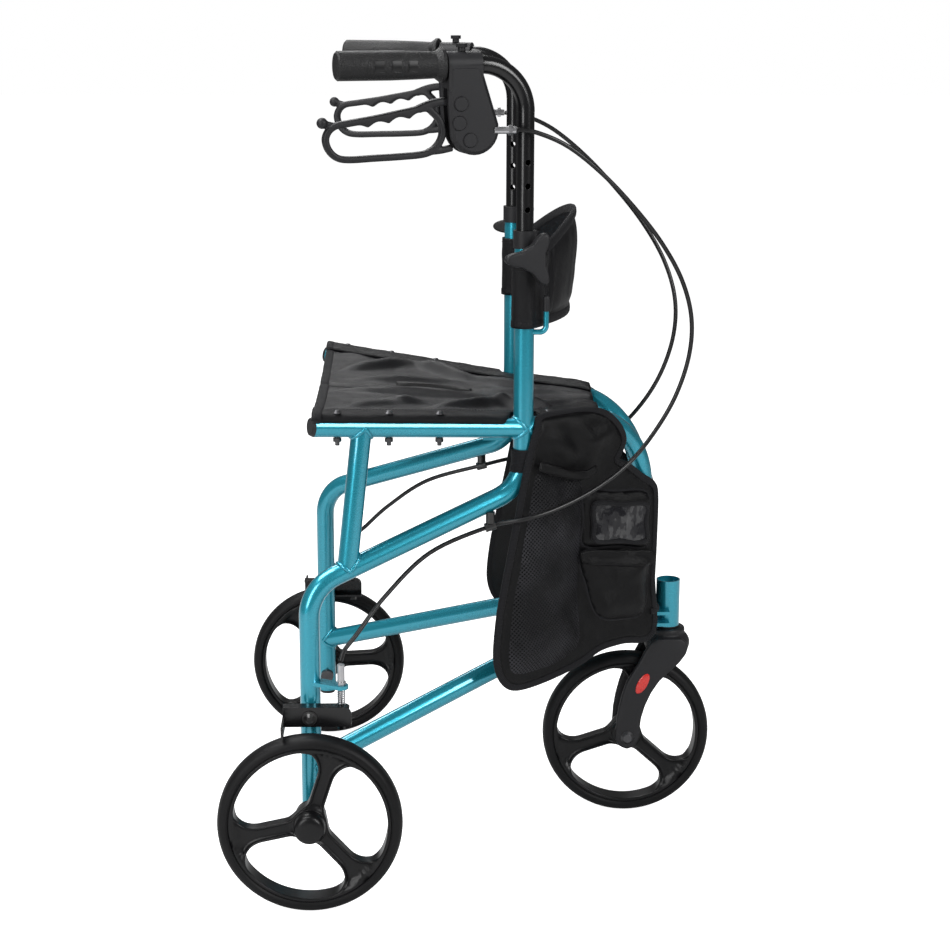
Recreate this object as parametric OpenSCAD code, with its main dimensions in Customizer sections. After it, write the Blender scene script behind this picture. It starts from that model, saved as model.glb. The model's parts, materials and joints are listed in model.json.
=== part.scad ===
// Three wheel rollator with folding side frames, a sling seat, a backrest band and loop brakes.
// X points forward, Z points up, and the right-hand side lies at negative Y.
// The origin is on the floor, midway between the rear axles and the front axle.

/* [Wheels] */
// Diameter over the tyres
wheel_d = 200; // [180:1:215]
// Width of each tyre
tyre_w = 28; // [22:1:32]
// Distance from the rear axles to the front axle
wheelbase = 368; // [340:1:440]
// Distance between the middles of the rear wheels
track = 550; // [525:1:620]
// Distance that the front axle trails behind the swivel axis
trail = 48; // [42:1:56]

/* [Frame] */
// Outside diameter of the frame tubes
tube_d = 22.2; // [20:0.1:25.4]
// Wall of the frame tubes
tube_wall = 1.5; // [1.2:0.1:2]
// Distance of the swivel axis ahead of the fold hinges
hinge_lead = 36; // [32:1:44]
// Distance between the two fold hinges
hinge_spacing = 48; // [44:1:60]
// Distance of the uprights behind the fold hinges
upright_back = 145; // [130:1:165]
// Distance between the uprights
upright_spread = 244; // [230:1:280]
// Distance between the rear legs
leg_spread = 444; // [420:1:480]
// Height of the tops of the uprights
upright_top_h = 717; // [690:1:760]
// Height where each upright turns into its diagonal
corner_high_h = 435; // [415:1:450]
// Height where each diagonal turns into its leg
corner_low_h = 347; // [320:1:365]
// Bend radius of the main tubes, on the centre line
bend_r = 45; // [38:1:55]
// Bend radius of the front tubes, on the centre line
front_bend_r = 90; // [70:1:110]

/* [Seat] */
// Height of the seat rails at the rear
seat_rear_h = 523; // [505:1:545]
// Height of the seat rails at the uprights
seat_front_h = 501; // [490:1:525]
// Distance between the rear ends of the seat rails
rail_spread = 428; // [400:1:460]
// Distance of the rear ends of the seat rails behind the fold hinges
rail_back = 373; // [340:1:400]
// How far the middle of the sling sags
seat_sag = 8; // [4:1:10]

/* [Handles] */
// Diameter of the handle tubes
handle_d = 19; // [19:0.1:19.1]
// Height of the grips
handle_h = 897; // [870:1:930]
// Length of each handle, from its upright to the end of its grip
handle_reach = 209; // [190:1:235]
// Angle at which the handles point outward
handle_toe = 16; // [10:1:22]
// Bend radius of the handle tubes, on the centre line
handle_bend_r = 50; // [40:1:55]
// Diameter of the grips
grip_d = 31; // [27:1:34]

/* [Brakes] */
// Thickness of the brake levers
lever_t = 12; // [9:1:14]
// Free gap between the brake pad and the tyre
pad_gap = 4; // [3.5:0.1:6]

/* [Hidden] */
$fn = 64;
// Extra length of every cut
overrun = 1;
// Space between pieces that only rest on each other
rest_gap = 0.3;
// Radial clearance of pins in their bores
run_fit = 0.05;
// Straight lengths of a bent tube reach this far into its bends, whose walls are thicker by the swell
lap = 0.4;
swell = 0.15;
// Gap left for the weld where a tube is saddled against another
weld_gap = 0.05;
frame_paint = "teal";
black_plastic = "#202124";
black_cloth = "#2b2b30";
steel = "silver";

wheel_r = wheel_d / 2;
tube_r = tube_d / 2;
bore_r = tube_r - tube_wall;
rear_x = -wheelbase / 2;
front_x = wheelbase / 2;
stem_x = front_x + trail;
hinge_x = stem_x - hinge_lead;
hinge = [hinge_x, -hinge_spacing / 2];
upright = [hinge_x - upright_back, -upright_spread / 2];
leg = [rear_x, -leg_spread / 2];

// Caster head, with heights measured up from the top of the wheel
stem_r = 14;
stem_wall = 2;
stem_h = 56;
stem_lift = 34;
stem_low = wheel_d + stem_lift;
stem_top = stem_low + stem_h;
// Socket at the open top of the stem
socket_wall = 1.4;
socket_h = 9;
steerer_r = 8;
steerer_lift = 2;
steerer_low = wheel_d + steerer_lift;
steerer_nut_space = 1;
bush_h = 12;
bush_flange = 2;
plate_t = 4;
plate_rise = 4;
plate_low = stem_low + plate_rise;
ring_rise = 14;
ring_low = plate_low + ring_rise;
ring_edge = 6;
ring_fit = 0.2;
pin_r = 6;
pin_h = 60;
pin_head = 3;
bush_lip = 1;
front_tube_low = plate_low + plate_t + bush_lip;
lower_rear_rise = 46;
lower_rear_z = wheel_r + lower_rear_rise;
lower_front_rise = 43;
lower_front_z = plate_low + lower_front_rise;
leg_tail = 22;
leg_low = wheel_r - leg_tail;

// Frame points on the right-hand side
top_end = [upright.x, upright.y, upright_top_h];
high_corner = [upright.x, upright.y, corner_high_h];
low_corner = [leg.x, leg.y, corner_low_h];
leg_end = [leg.x, leg.y, leg_low];
main_path = [top_end, high_corner, low_corner, leg_end];
rail_rear = [hinge_x - rail_back, -rail_spread / 2, seat_rear_h];
rail_front = [upright.x, upright.y, seat_front_h];
front_path = [[hinge.x, hinge.y, front_tube_low], [hinge.x, hinge.y, seat_front_h], rail_front];
lower_rear = [leg.x, leg.y, lower_rear_z];
lower_front = [hinge.x, hinge.y, lower_front_z];
strut_top_share = 0.776;
strut_low_share = 0.826;
strut_top = mix(rail_front, rail_rear, strut_top_share);
strut_low = mix(high_corner, low_corner, strut_low_share);

// Seat screws, as shares of the rail from the upright to the rear end
screw_shares = [0.41, 0.65, 0.89];
screw_r = 2.4;
screw_head_r = 5;
screw_head_h = 3;
screw_nut_r = 4.5;
screw_nut_h = 4;
screw_tail = 4;
screw_fit = 0.3;

// Height knob, its boss and the holes of the handle
knob_drop = 25;
knob_z = upright_top_h - knob_drop;
outward = [sin(handle_toe), -cos(handle_toe), 0];
boss_r = 8;
boss_reach = 17;
stud_r = 4;
knob_r = 27;
knob_t = 10;
knob_hub_r = 9;
knob_hub_h = 3;
knob_cap_r = 10;
scallop_r = 22;
scallop_out = 35;
hole_r = 3.2;
hole_pitch = 25.4;
holes_below = 3;
holes_above = 4;

// Backrest hook on the front of each upright
hook_z = 609;
hook_r = 3;
hook_out = 24;
hook_bend = 7;
hook_rise = 23;
hook_tip_r = 4;
hook_tip_h = 18;
hook_side = 3;

// Rear axle, wheels and hubs
axle_r = 5;
axle_head_r = 8;
axle_head_h = 7;
hub_in = 22;
hub_out = 18;
hub_r = 17;
dome_h = 8;
dome_wall = 3;
dome_space = 1;
hub_bush_r = 8;
hub_bush_h = 12;
hub_bush_flange = 1.5;
hub_bush_flange_r = 11;
axle_nut_r = 9;
axle_nut_h = 7;
axle_tail = 1;
front_hub_half = 15.5;
tyre_h = 12;
rim_h = 12;
rim_side = 2;
rim_bevel = 4;
tyre_steps = 16;
tyre_power = 2.6;
spoke_t = 9;
spoke_w = 15;
window_low = 24;
window_round = 17;
spokes = 3;
rear_spin = 65;
front_spin = 80;

// Rear brake: pivot, arm, tab and spring
brake_rise = 9;
brake_z = wheel_d + brake_rise;
brake_bolt_r = 4;
arm_rear = 29;
arm_front = 45;
arm_up = 12;
arm_down = 10;
arm_depth = 14;
arm_t = 2.5;
arm_round = 8;
arm_gap = 1.5;
arm_in_y = leg.y - tube_r - arm_gap;
arm_out_y = arm_in_y - arm_depth;
brake_washer_r = 8;
brake_washer_t = 1.5;
brake_spacer_r = 7;
brake_head_r = 6;
brake_head_h = 4;
clamp_r = 4.5;
clamp_h = 5;
wire_lead = 34;
wire_side = 6;
wire_line = [leg.x + wire_lead, arm_in_y - wire_side];
tab_t = 4;
tab_r = 8;
tab_rise = 19;
tab_z = brake_z + arm_up + tab_rise;
adjuster_r = 4;
adjuster_h = 27;
adjuster_nut_r = 5.5;
adjuster_nut_h = 4;
wire_r = 0.8;
spring_r = 3.8;
spring_wire_r = 0.6;
spring_turns = 7;
spring_steps = 8;
spring_sides = 6;

// Folding brace under the seat
brace_share = 0.114;
brace_in = 22;
lug_r = 11;
lug_t = 4;
link_w = 18;
link_bar = 14;
link_t = 4;
link_pin_r = 4;
link_head_r = 6.5;
link_head_h = 1.5;
knee_slack = 5;
knee_edge = 5;
knee_back = 99;
brace_mid = mix(rail_front, rail_rear, brace_share);
rail_plan = unit([rail_front.x - rail_rear.x, rail_front.y - rail_rear.y, 0]);
brace_pivot = [brace_mid.x, brace_mid.y, 0] + [-rail_plan.y, rail_plan.x, 0] * brace_in;
lug_sink = 1;
lug_z = brace_mid.z - tube_r - lug_t + lug_sink;
knee = [brace_pivot.x - knee_back, 0];
link_low = lug_z + lug_t + rest_gap;
link_step = link_t + rest_gap;

// Caps, plugs and the upright's collar
plug_flange = 4;
plug_taper = 2;
plug_depth = 12;
collar_t = 1.5;
collar_h = 16;
collar_lip = 3;

// Handle plane: s runs back along the grip, z up, n towards the middle of the walker
handle_r = handle_d / 2;
handle_fit = 0.1;
handle_wall = 1.5;
handle_tail = 117;
grip_end_t = 6;
back = [-cos(handle_toe), -sin(handle_toe), 0];
inward = [-sin(handle_toe), cos(handle_toe), 0];
handle_path = [
    [upright.x, upright.y, upright_top_h - handle_tail],
    [upright.x, upright.y, handle_h],
    [upright.x, upright.y, handle_h] + back * (handle_reach - grip_end_t)
];
grip_len = 117;
grip_edge = 1;
grip_flange = 3;
grip_flange_len = 5;
grip_neck = 1.5;
housing_t = 30;
housing_edge = 4;
housing_back = 90;
clamp_round = 14;
clamp_space = 2;
slot_lead = 15;
slot_drop = 24;
lever_fit = 1;
pivot_s = 77;
pivot_drop = 40;
pivot_pin_r = 3;
lever_bar = 8;
tip_r = 7;
cap_r = 8;
cap_t = 2;
cap_bevel = 1;
clamp_bolt_r = 4;
clamp_bolt_h = 8;
clamp_head_r = 6;
barrel_side = 12;
barrel_s = 36;
barrel_r = 4;
barrel_nut_r = 5.5;
barrel_seat = 4;
barrel_len = 24;
barrel_reach = 23.84282;
barrel_drop = 68;

// Fork of the caster
fork_gap = 3.5;
fork_t = 10;
fork_bevel = 2.5;
fork_end_r = 15;
fork_mid_r = 17;
fork_top_r = 21;
crown_r = 24;
crown_edge = 1;
crown_drop = 14;
crown_low = wheel_d - crown_drop;
collar_ring_r = 21;
collar_ring_h = 6;
wheel_space = 4;
reflector_l = 25;
reflector_w = 13;
reflector_t = 1.6;
reflector_out = 1;
reflector_share = 0.02;
fork_in = tyre_w / 2 + fork_gap;
fork_out = fork_in + fork_t;
fork_end = [front_x, wheel_r];
fork_mid_lead = 24;
fork_mid_rise = 68;
fork_mid = [front_x + fork_mid_lead, wheel_r + fork_mid_rise];
fork_top_back = 6;
fork_top_drop = 2;
fork_top = [stem_x - fork_top_back, wheel_d - fork_top_drop];

// Fabric pieces
cloth_t = 3;
seat_hem = 8;
seat_gap = 0.8;
seat_lift = tube_r + swell + seat_gap;
seat_rear_in = 4;
seat_front_in = 57;
seat_front_x = hinge_x - seat_front_in;
seat_rows = 24;
seat_columns = 12;
notch_gap = 2;
sleeve_rise = 5;
sleeve_low = hook_z + sleeve_rise;
sleeve_space = 2;
sleeve_h = knob_z - boss_r - sleeve_low - sleeve_space;
sleeve_t = 2.6;
band_bow = 56;
band_low = 619;
band_h = 110;
band_inset = 2;
band_tuck_share = 0.6;
band_end_low = sleeve_low + band_inset;
band_end_h = sleeve_h - band_inset * 2;
band_t = 11;
band_end_t = 6;
band_steps = 28;
band_sides = 12;
bag_t = 8;
bag_gap = 0.6;
nose_space = 6;
nose_low = lower_front_z + tube_r + nose_space;
nose_top = 412;
bag_space = 13;
bag_low = wheel_d + bag_space;
bag_rise = 4;
bag_high = seat_front_h + bag_rise;
// Outline of a side panel of the bag: way from the hinge to the upright, and height
bag_shares = [
    [0, 0.106], [0.343, 0.092], [0.646, 0.031], [0.914, 0.003], [1.097, 0], [1.217, 0.027], [1.26, 0.092],
    [1.251, 0.195], [1.103, 0.589], [1.011, 0.836], [0.96, 0.938], [0.914, 1], [0.411, 1], [0.309, 0.949],
    [0.257, 0.894], [0.309, 0.815], [0.206, 0.777], [0, 0.682]
];
bag_edge = [for (c = bag_shares) [norm(upright - hinge) * c[0], mix(bag_low, bag_high, c[1])]];

// Brake cables, as hand-chosen points on the right-hand side
cable_r = 2.5;
cable_sides = 8;
cable_steps = 4;
cable_route = [
    [40, -138, 829], [62, -139, 826], [96, -135, 811], [133, -126, 782], [170, -113, 744], [203, -99, 703],
    [228, -86, 660], [241, -76, 616], [240, -71, 572], [226, -71, 526], [203, -75, 486], [175, -86, 454],
    [138, -110, 431], [94, -135, 414], [54, -150, 404], [14, -147, 395], [-53, -168, 371], [-102, -199, 331],
    [-133, -226, 296], [-146, -237, 282], [-150, -241, 271]
];
clip_at = 15;
clip_len = 12;
clip_wall = 2;
clip_lap = 1;
clip_reach_share = 0.75;

function unit(v) = v / norm(v);
function mix(a, b, t) = a + (b - a) * t;
function turn(a, b, c) = acos(unit(b - a) * unit(c - b));
function setback(a, b, c, bend) = bend * tan(turn(a, b, c) / 2);
// A point of the handle plane, s back from the upright and z above the floor
function handle_point(s, z, n = 0) = [upright.x, upright.y, z] + back * s + inward * n;

// Mirrors a right-hand piece to the left
module left_side() {
    mirror([0, 1, 0]) children();
}

// Turns the Z axis along d and moves it to p
module aim(p, d) {
    u = unit(d);
    translate(p) rotate([0, acos(u.z), atan2(u.y, u.x)]) children();
}

module bar(p, q, r) {
    aim(p, q - p) cylinder(h = norm(q - p), r = r);
}

// Quarter or part ring at the corner b of the path a, b, c
module elbow(a, b, c, bend, r, wall) {
    u = unit(b - a);
    v = unit(c - b);
    side = unit(v - u * (u * v));
    o = b - u * setback(a, b, c, bend) + side * bend;
    w = cross(-side, u);
    multmatrix([
        [-side.x, u.x, w.x, o.x],
        [-side.y, u.y, w.y, o.y],
        [-side.z, u.z, w.z, o.z],
        [0, 0, 0, 1]
    ])
        rotate_extrude(angle = turn(a, b, c)) translate([bend, 0]) ring(r + swell, min(r, wall) + swell * 2);
}

// Straight length of tube, solid when the wall is as thick as the radius
module pipe(p, q, r, wall) {
    aim(p, q - p) linear_extrude(norm(q - p)) ring(r, wall);
}

module ring(r, wall) {
    difference() {
        circle(r = r);
        if (wall < r) circle(r = r - wall);
    }
}

// Tube along a path with round corners
module bent_tube(pts, bend, r, wall) {
    n = len(pts) - 1;
    for (i = [0 : n - 1]) {
        u = unit(pts[i + 1] - pts[i]);
        p = i == 0 ? pts[i] : pts[i] + u * (setback(pts[i - 1], pts[i], pts[i + 1], bend) - lap);
        q = i == n - 1 ? pts[n] : pts[i + 1] - u * (setback(pts[i], pts[i + 1], pts[i + 2], bend) - lap);
        pipe(p, q, r, wall);
    }
    for (i = [1 : n - 1]) elbow(pts[i - 1], pts[i], pts[i + 1], bend, r, wall);
}

// Places children in the handle plane: X back, Y up, Z towards the middle of the walker
module in_handle_plane(n = 0) {
    o = [upright.x, upright.y, 0] + inward * n;
    multmatrix([
        [back.x, 0, inward.x, o.x],
        [back.y, 0, inward.y, o.y],
        [0, 1, 0, o.z],
        [0, 0, 0, 1]
    ])
        children();
}

// Places a wheel piece, modelled round Z, on the axle of the right rear wheel
module on_rear_axle() {
    translate([rear_x, -track / 2, wheel_r]) rotate([90, 0, 0]) children();
}

module on_front_axle() {
    translate([front_x, 0, wheel_r]) rotate([90, 0, 0]) children();
}

// Tube through a list of ring centres, as triangles; ref is a direction that it never runs along
function ring_points(pts, i, r, sides, ref) =
    let (
        n = len(pts) - 1,
        t = unit(pts[min(i + 1, n)] - pts[max(i - 1, 0)]),
        side = unit(cross(t, ref)),
        up = cross(side, t)
    )
        [for (k = [0 : sides - 1]) pts[i] + side * (r * cos(360 * k / sides))
            + up * (r * sin(360 * k / sides))];

module swept_tube(pts, r, sides, ref) {
    n = len(pts);
    rings = [for (i = [0 : n - 1]) each ring_points(pts, i, r, sides, ref)];
    walls = [
        for (i = [0 : n - 2], k = [0 : sides - 1])
            let (a = i * sides + k, b = i * sides + (k + 1) % sides)
                each [[a, b, b + sides], [a, b + sides, a + sides]]
    ];
    ends = [
        for (k = [1 : sides - 2])
            each [[0, k + 1, k], [(n - 1) * sides, (n - 1) * sides + k, (n - 1) * sides + k + 1]]
    ];
    polyhedron(rings, concat(walls, ends));
}

// Smooth curve through hand-chosen points
function curve_point(p, i, t) =
    let (
        n = len(p) - 1,
        a = p[max(i - 1, 0)],
        b = p[i],
        c = p[min(i + 1, n)],
        d = p[min(i + 2, n)]
    )
        b + (c - a) * (t / 2) + (a * 2 - b * 5 + c * 4 - d) * (t * t / 2)
            + (b * 3 - a - c * 3 + d) * (t * t * t / 2);
function curve(p, steps) = concat(
    [for (i = [0 : len(p) - 2], k = [0 : steps - 1]) curve_point(p, i, k / steps)],
    [p[len(p) - 1]]
);

// Caster head

module stem_tube() {
    color(frame_paint) translate([stem_x, 0, stem_low]) difference() {
        cylinder(h = stem_h, r = stem_r);
        translate([0, 0, -overrun]) cylinder(h = stem_h + overrun * 2, r = stem_r - stem_wall);
        translate([0, 0, stem_h - socket_h]) cylinder(h = socket_h + overrun, r = stem_r - socket_wall);
    }
}

module stem_bushes() {
    r = stem_r - stem_wall - run_fit;
    color(black_plastic) translate([stem_x, 0, 0]) difference() {
        union() {
            translate([0, 0, stem_low]) cylinder(h = bush_h, r = r);
            translate([0, 0, stem_low - bush_flange]) cylinder(h = bush_flange, r = stem_r);
            translate([0, 0, stem_top - bush_h * 2 - bush_flange * 2]) cylinder(h = bush_h, r = r);
        }
        cylinder(h = stem_top, r = steerer_r + run_fit);
    }
}

// Outline of a bracket plate, with an eye of radius r round each hinge
module plate_outline(r) {
    for (side = [-1, 1]) translate([hinge.x, hinge.y * side]) circle(r = r);
    translate([hinge.x - r / 2, hinge.y]) square([hinge_lead + r / 2, hinge_spacing]);
}

module head_bracket() {
    eye_r = tube_r + ring_fit + ring_edge;
    color(frame_paint) difference() {
        union() {
            translate([0, 0, plate_low]) linear_extrude(plate_t) plate_outline(eye_r);
            translate([0, 0, ring_low]) linear_extrude(plate_t) plate_outline(eye_r);
            translate([hinge.x, -plate_t / 2, plate_low]) cube([hinge_lead, plate_t, stem_h / 2]);
        }
        translate([stem_x, 0, 0]) cylinder(h = stem_top, r = stem_r);
        for (side = [-1, 1]) translate([hinge.x, hinge.y * side, 0]) {
            cylinder(h = plate_low + plate_t + overrun, r = pin_r);
            translate([0, 0, ring_low - overrun]) cylinder(h = plate_t + overrun * 2, r = tube_r + ring_fit);
        }
        translate([hinge.x - tube_r * 2, -tyre_w / 2 + plate_t, plate_low - overrun])
            cube([tube_r * 2 - plate_t, tyre_w - plate_t * 2, stem_h]);
    }
}

// Hinge pins standing in the lower plate, headed below it
module hinge_pins() {
    color(steel) for (side = [-1, 1]) translate([hinge.x, hinge.y * side, plate_low]) {
        cylinder(h = pin_h, r = pin_r);
        translate([0, 0, -pin_head]) cylinder(h = pin_head, r1 = pin_r, r2 = pin_r + pin_head);
    }
}

// Caster fork and wheel

// One limb of a fork arm between two round ends, with bevelled edges
module limb(p, pr, q, qr) {
    hull() for (c = [[p, pr], [q, qr]]) translate([c[0].x, -fork_out, c[0].y]) rotate([-90, 0, 0]) {
        translate([0, 0, fork_bevel]) cylinder(h = fork_t - fork_bevel, r = c[1], $fn = 32);
        cylinder(h = fork_t, r = c[1] - fork_bevel, $fn = 32);
    }
}

module fork_arm() {
    limb(fork_end, fork_end_r, fork_mid, fork_mid_r);
    limb(fork_mid, fork_mid_r, fork_top, fork_top_r);
}

module fork() {
    top = stem_low - bush_flange - rest_gap;
    mid = (top + crown_low) / 2;
    color(black_plastic) difference() {
        union() {
            fork_arm();
            mirror([0, 1, 0]) fork_arm();
            translate([stem_x, 0, 0]) rotate_extrude() polygon([
                [0, crown_low], [fork_in, crown_low], [crown_r, mid - plug_flange],
                [crown_r + crown_edge, mid],
                [crown_r, mid + plug_flange * 2], [collar_ring_r - crown_edge * 2, top - collar_ring_h],
                [collar_ring_r, top - collar_ring_h + crown_edge], [collar_ring_r, top - crown_edge],
                [collar_ring_r - crown_edge, top], [0, top]
            ]);
        }
        translate([front_x, -fork_in, wheel_r]) rotate([-90, 0, 0])
            cylinder(h = fork_in * 2, r = wheel_r + wheel_space);
        translate([front_x, -fork_out - overrun, wheel_r]) rotate([-90, 0, 0])
            cylinder(h = (fork_out + overrun) * 2, r = axle_r);
        translate([stem_x, 0, steerer_low]) cylinder(h = stem_h * 2, r = steerer_r);
        for (side = [-1, 1]) reflector_place(side) translate([0, 0, -reflector_t])
            reflector_oval(reflector_t * 2);
    }
}

// Oval recess halfway down each arm
module reflector_place(side) {
    c = mix(fork_mid, fork_end, reflector_share);
    slope = atan2(fork_mid.y - fork_end.y, fork_mid.x - fork_end.x);
    scale([1, -side, 1]) translate([c.x, -fork_out, c.y]) rotate([90, 90 - slope, 0]) children();
}

module reflector_oval(t) {
    half = (reflector_l - reflector_w) / 2;
    linear_extrude(t) {
        for (end = [-1, 1]) translate([0, half * end]) circle(d = reflector_w);
        square([reflector_w, half * 2], center = true);
    }
}

module fork_reflectors() {
    color("red") for (side = [-1, 1]) reflector_place(side) translate([0, 0, -reflector_t])
        reflector_oval(reflector_t + reflector_out);
}

module steerer() {
    nut_low = stem_top - bush_h - bush_flange * 2 + rest_gap;
    color(steel) translate([stem_x, 0, 0]) {
        translate([0, 0, steerer_low]) cylinder(h = nut_low - steerer_low, r = steerer_r);
        translate([0, 0, nut_low])
            cylinder(h = bush_h / 2, r = stem_r - stem_wall - steerer_nut_space, $fn = 6);
    }
}

module front_axle() {
    color(steel) translate([front_x, -fork_out, wheel_r]) rotate([-90, 0, 0]) {
        cylinder(h = fork_out * 2, r = axle_r);
        translate([0, 0, -axle_head_h / 2]) cylinder(h = axle_head_h / 2, r1 = axle_r, r2 = axle_head_r);
        translate([0, 0, fork_out * 2]) cylinder(h = axle_head_h, r = axle_head_r, $fn = 6);
    }
}

// Wheels, modelled round Z with the outer face up

// Three windows leave spokes that are narrow at the hub and flare into the rim
module wheel_windows() {
    top = wheel_r - tyre_h - rim_h - rim_side;
    for (i = [0 : spokes - 1]) rotate(i * 360 / spokes) offset(r = window_round, $fn = 40)
        offset(delta = -window_round) intersection() {
            difference() {
                circle(r = top);
                circle(r = window_low);
            }
            polygon([
                [spoke_w, 0],
                [spoke_w + wheel_d * cos(60), wheel_d * sin(60)],
                [-spoke_w / 2, wheel_d * 2],
                [spoke_w - wheel_d * cos(60) - spoke_w * 2, wheel_d * sin(60)],
                [-spoke_w, 0]
            ]);
        }
}

module rim_band() {
    r = wheel_r - tyre_h;
    half = tyre_w / 2 - rim_side;
    rotate_extrude() polygon([
        [r - rim_h, rim_bevel - half], [r - rim_h + rim_bevel, -half], [r, -half],
        [r, half], [r - rim_h + rim_bevel, half], [r - rim_h, half - rim_bevel]
    ]);
}

module rim(spin, hub_low, hub_high, dome) {
    color(black_plastic) difference() {
        union() {
            rim_band();
            rotate(spin) linear_extrude(spoke_t, center = true) difference() {
                circle(r = wheel_r - tyre_h - rim_bevel);
                wheel_windows();
            }
            translate([0, 0, -hub_low]) cylinder(h = hub_low + hub_high, r = hub_r);
            if (dome > 0) translate([0, 0, hub_high]) cylinder(h = dome, r1 = hub_r, r2 = hub_r - dome / 2);
        }
        translate([0, 0, -hub_low - overrun]) cylinder(h = hub_low + hub_high + overrun * 2, r = hub_bush_r);
        if (dome > 0) translate([0, 0, hub_high - dome])
            cylinder(h = dome * 2 - dome_wall, r = hub_bush_flange_r + dome_space);
    }
}

module tyre() {
    r = wheel_r - tyre_h;
    color(black_plastic) rotate_extrude() polygon(concat(
        [[r, tyre_w / 2 - rim_side], [r, rim_side - tyre_w / 2]],
        [
            for (i = [0 : tyre_steps])
                let (
                    a = 180 * i / tyre_steps - 90,
                    c = pow(abs(cos(a)), 2 / tyre_power),
                    s = pow(abs(sin(a)), 2 / tyre_power) * sign(a)
                )
                    [r + rim_side + (tyre_h - rim_side) * c, tyre_w / 2 * s]
        ]
    ));
}

// Two flanged bushes in a hub that reaches from -low to high
module bushes(low, high) {
    color("dimgray") difference() {
        union() {
            translate([0, 0, -low]) cylinder(h = hub_bush_h, r = hub_bush_r - run_fit);
            translate([0, 0, -low - hub_bush_flange]) cylinder(h = hub_bush_flange, r = hub_bush_flange_r);
            translate([0, 0, high - hub_bush_h]) cylinder(h = hub_bush_h, r = hub_bush_r - run_fit);
            translate([0, 0, high]) cylinder(h = hub_bush_flange, r = hub_bush_flange_r);
        }
        translate([0, 0, -low * 2]) cylinder(h = (low + high) * 2, r = axle_r + run_fit);
    }
}

module rear_rim() {
    on_rear_axle() rim(rear_spin, hub_in, hub_out, dome_h);
}

module rear_tyre() {
    on_rear_axle() tyre();
}

module rear_bushes() {
    on_rear_axle() bushes(hub_in, hub_out - dome_h);
}

// Axle bolt: head inside the leg, shouldered spacer outside it, nut under the hub's dome
module rear_axle() {
    centre = [rear_x, leg.y, wheel_r];
    head = [rear_x, leg.y + tube_r + axle_head_h, wheel_r];
    spacer = [rear_x, hub_in + hub_bush_flange + rest_gap - track / 2, wheel_r];
    nut = [rear_x, -track / 2 - hub_out + dome_h - hub_bush_flange - rest_gap, wheel_r];
    end = nut - [0, axle_nut_h + axle_tail, 0];
    color(steel) {
        bar(head, end, axle_r);
        difference() {
            union() {
                bar(centre, head, axle_head_r);
                bar(centre, spacer, axle_head_r);
            }
            bar(low_corner, leg_end, tube_r + weld_gap);
        }
        aim(nut, end - nut) cylinder(h = axle_nut_h, r = axle_nut_r, $fn = 6);
    }
}

// Side frame

module brake_tab() {
    translate([0, 0, tab_z]) linear_extrude(tab_t) {
        translate(wire_line) circle(r = tab_r);
        run = wire_line - leg;
        translate(leg) rotate(atan2(run.y, run.x)) translate([0, -tab_r]) square([norm(run), tab_r * 2]);
    }
}

module main_tube() {
    hook = [upright.x, upright.y - hook_side, hook_z];
    knob_seat = [upright.x, upright.y, knob_z];
    color(frame_paint) difference() {
        union() {
            bent_tube(main_path, bend_r, tube_r, tube_wall);
            difference() {
                union() {
                    bar(knob_seat, knob_seat + outward * boss_reach, boss_r);
                    bar(hook, hook + [hook_out - hook_bend + lap, 0, 0], hook_r);
                }
                bar(top_end, high_corner, tube_r - tube_wall / 2);
            }
            elbow(hook, hook + [hook_out, 0, 0], hook + [hook_out, 0, hook_rise], hook_bend, hook_r, hook_r);
            translate(hook + [hook_out, 0, hook_bend - lap])
                cylinder(h = hook_rise - hook_bend + lap, r = hook_r);
            difference() {
                brake_tab();
                bar(low_corner, leg_end, tube_r - tube_wall / 2);
            }
        }
        bar(knob_seat, knob_seat + outward * (boss_reach + overrun), stud_r + run_fit);
        bar([leg.x, leg.y - tube_d, wheel_r], [leg.x, leg.y + tube_d, wheel_r], axle_r + run_fit);
        bar([leg.x, leg.y - tube_d, brake_z], [leg.x, leg.y, brake_z], brake_bolt_r + run_fit);
        translate([wire_line.x, wire_line.y, tab_z - overrun])
            cylinder(h = tab_t + overrun * 2, r = adjuster_r);
    }
}

// Seat rail with the lug and stud of the folding brace, the stud's link raised by lift
module seat_rail(lift) {
    color(frame_paint) {
        difference() {
            union() {
                bar(rail_rear, rail_front, tube_r);
                translate([0, 0, lug_z]) linear_extrude(lug_t) difference() {
                    union() {
                        translate([brace_pivot.x, brace_pivot.y]) circle(r = lug_r);
                        translate([brace_pivot.x - lug_r, brace_mid.y])
                            square([lug_r * 2, brace_pivot.y - brace_mid.y]);
                    }
                    translate(upright) circle(r = tube_r + tube_wall);
                }
            }
            bar(rail_rear + (rail_rear - rail_front), rail_front, bore_r);
            bar(top_end, high_corner, tube_r + weld_gap);
            for (t = screw_shares) translate(mix(rail_front, rail_rear, t) - [0, 0, tube_d])
                cylinder(h = tube_d * 2, r = screw_r + screw_fit);
        }
        translate([brace_pivot.x, brace_pivot.y, lug_z + lug_t]) {
            cylinder(h = lift + link_t + rest_gap * 2 + link_head_h, r = link_pin_r);
            if (lift > 0) cylinder(h = lift, r = link_head_r);
            translate([0, 0, lift + link_t + rest_gap * 2]) cylinder(h = link_head_h, r = link_head_r);
        }
    }
}

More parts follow.
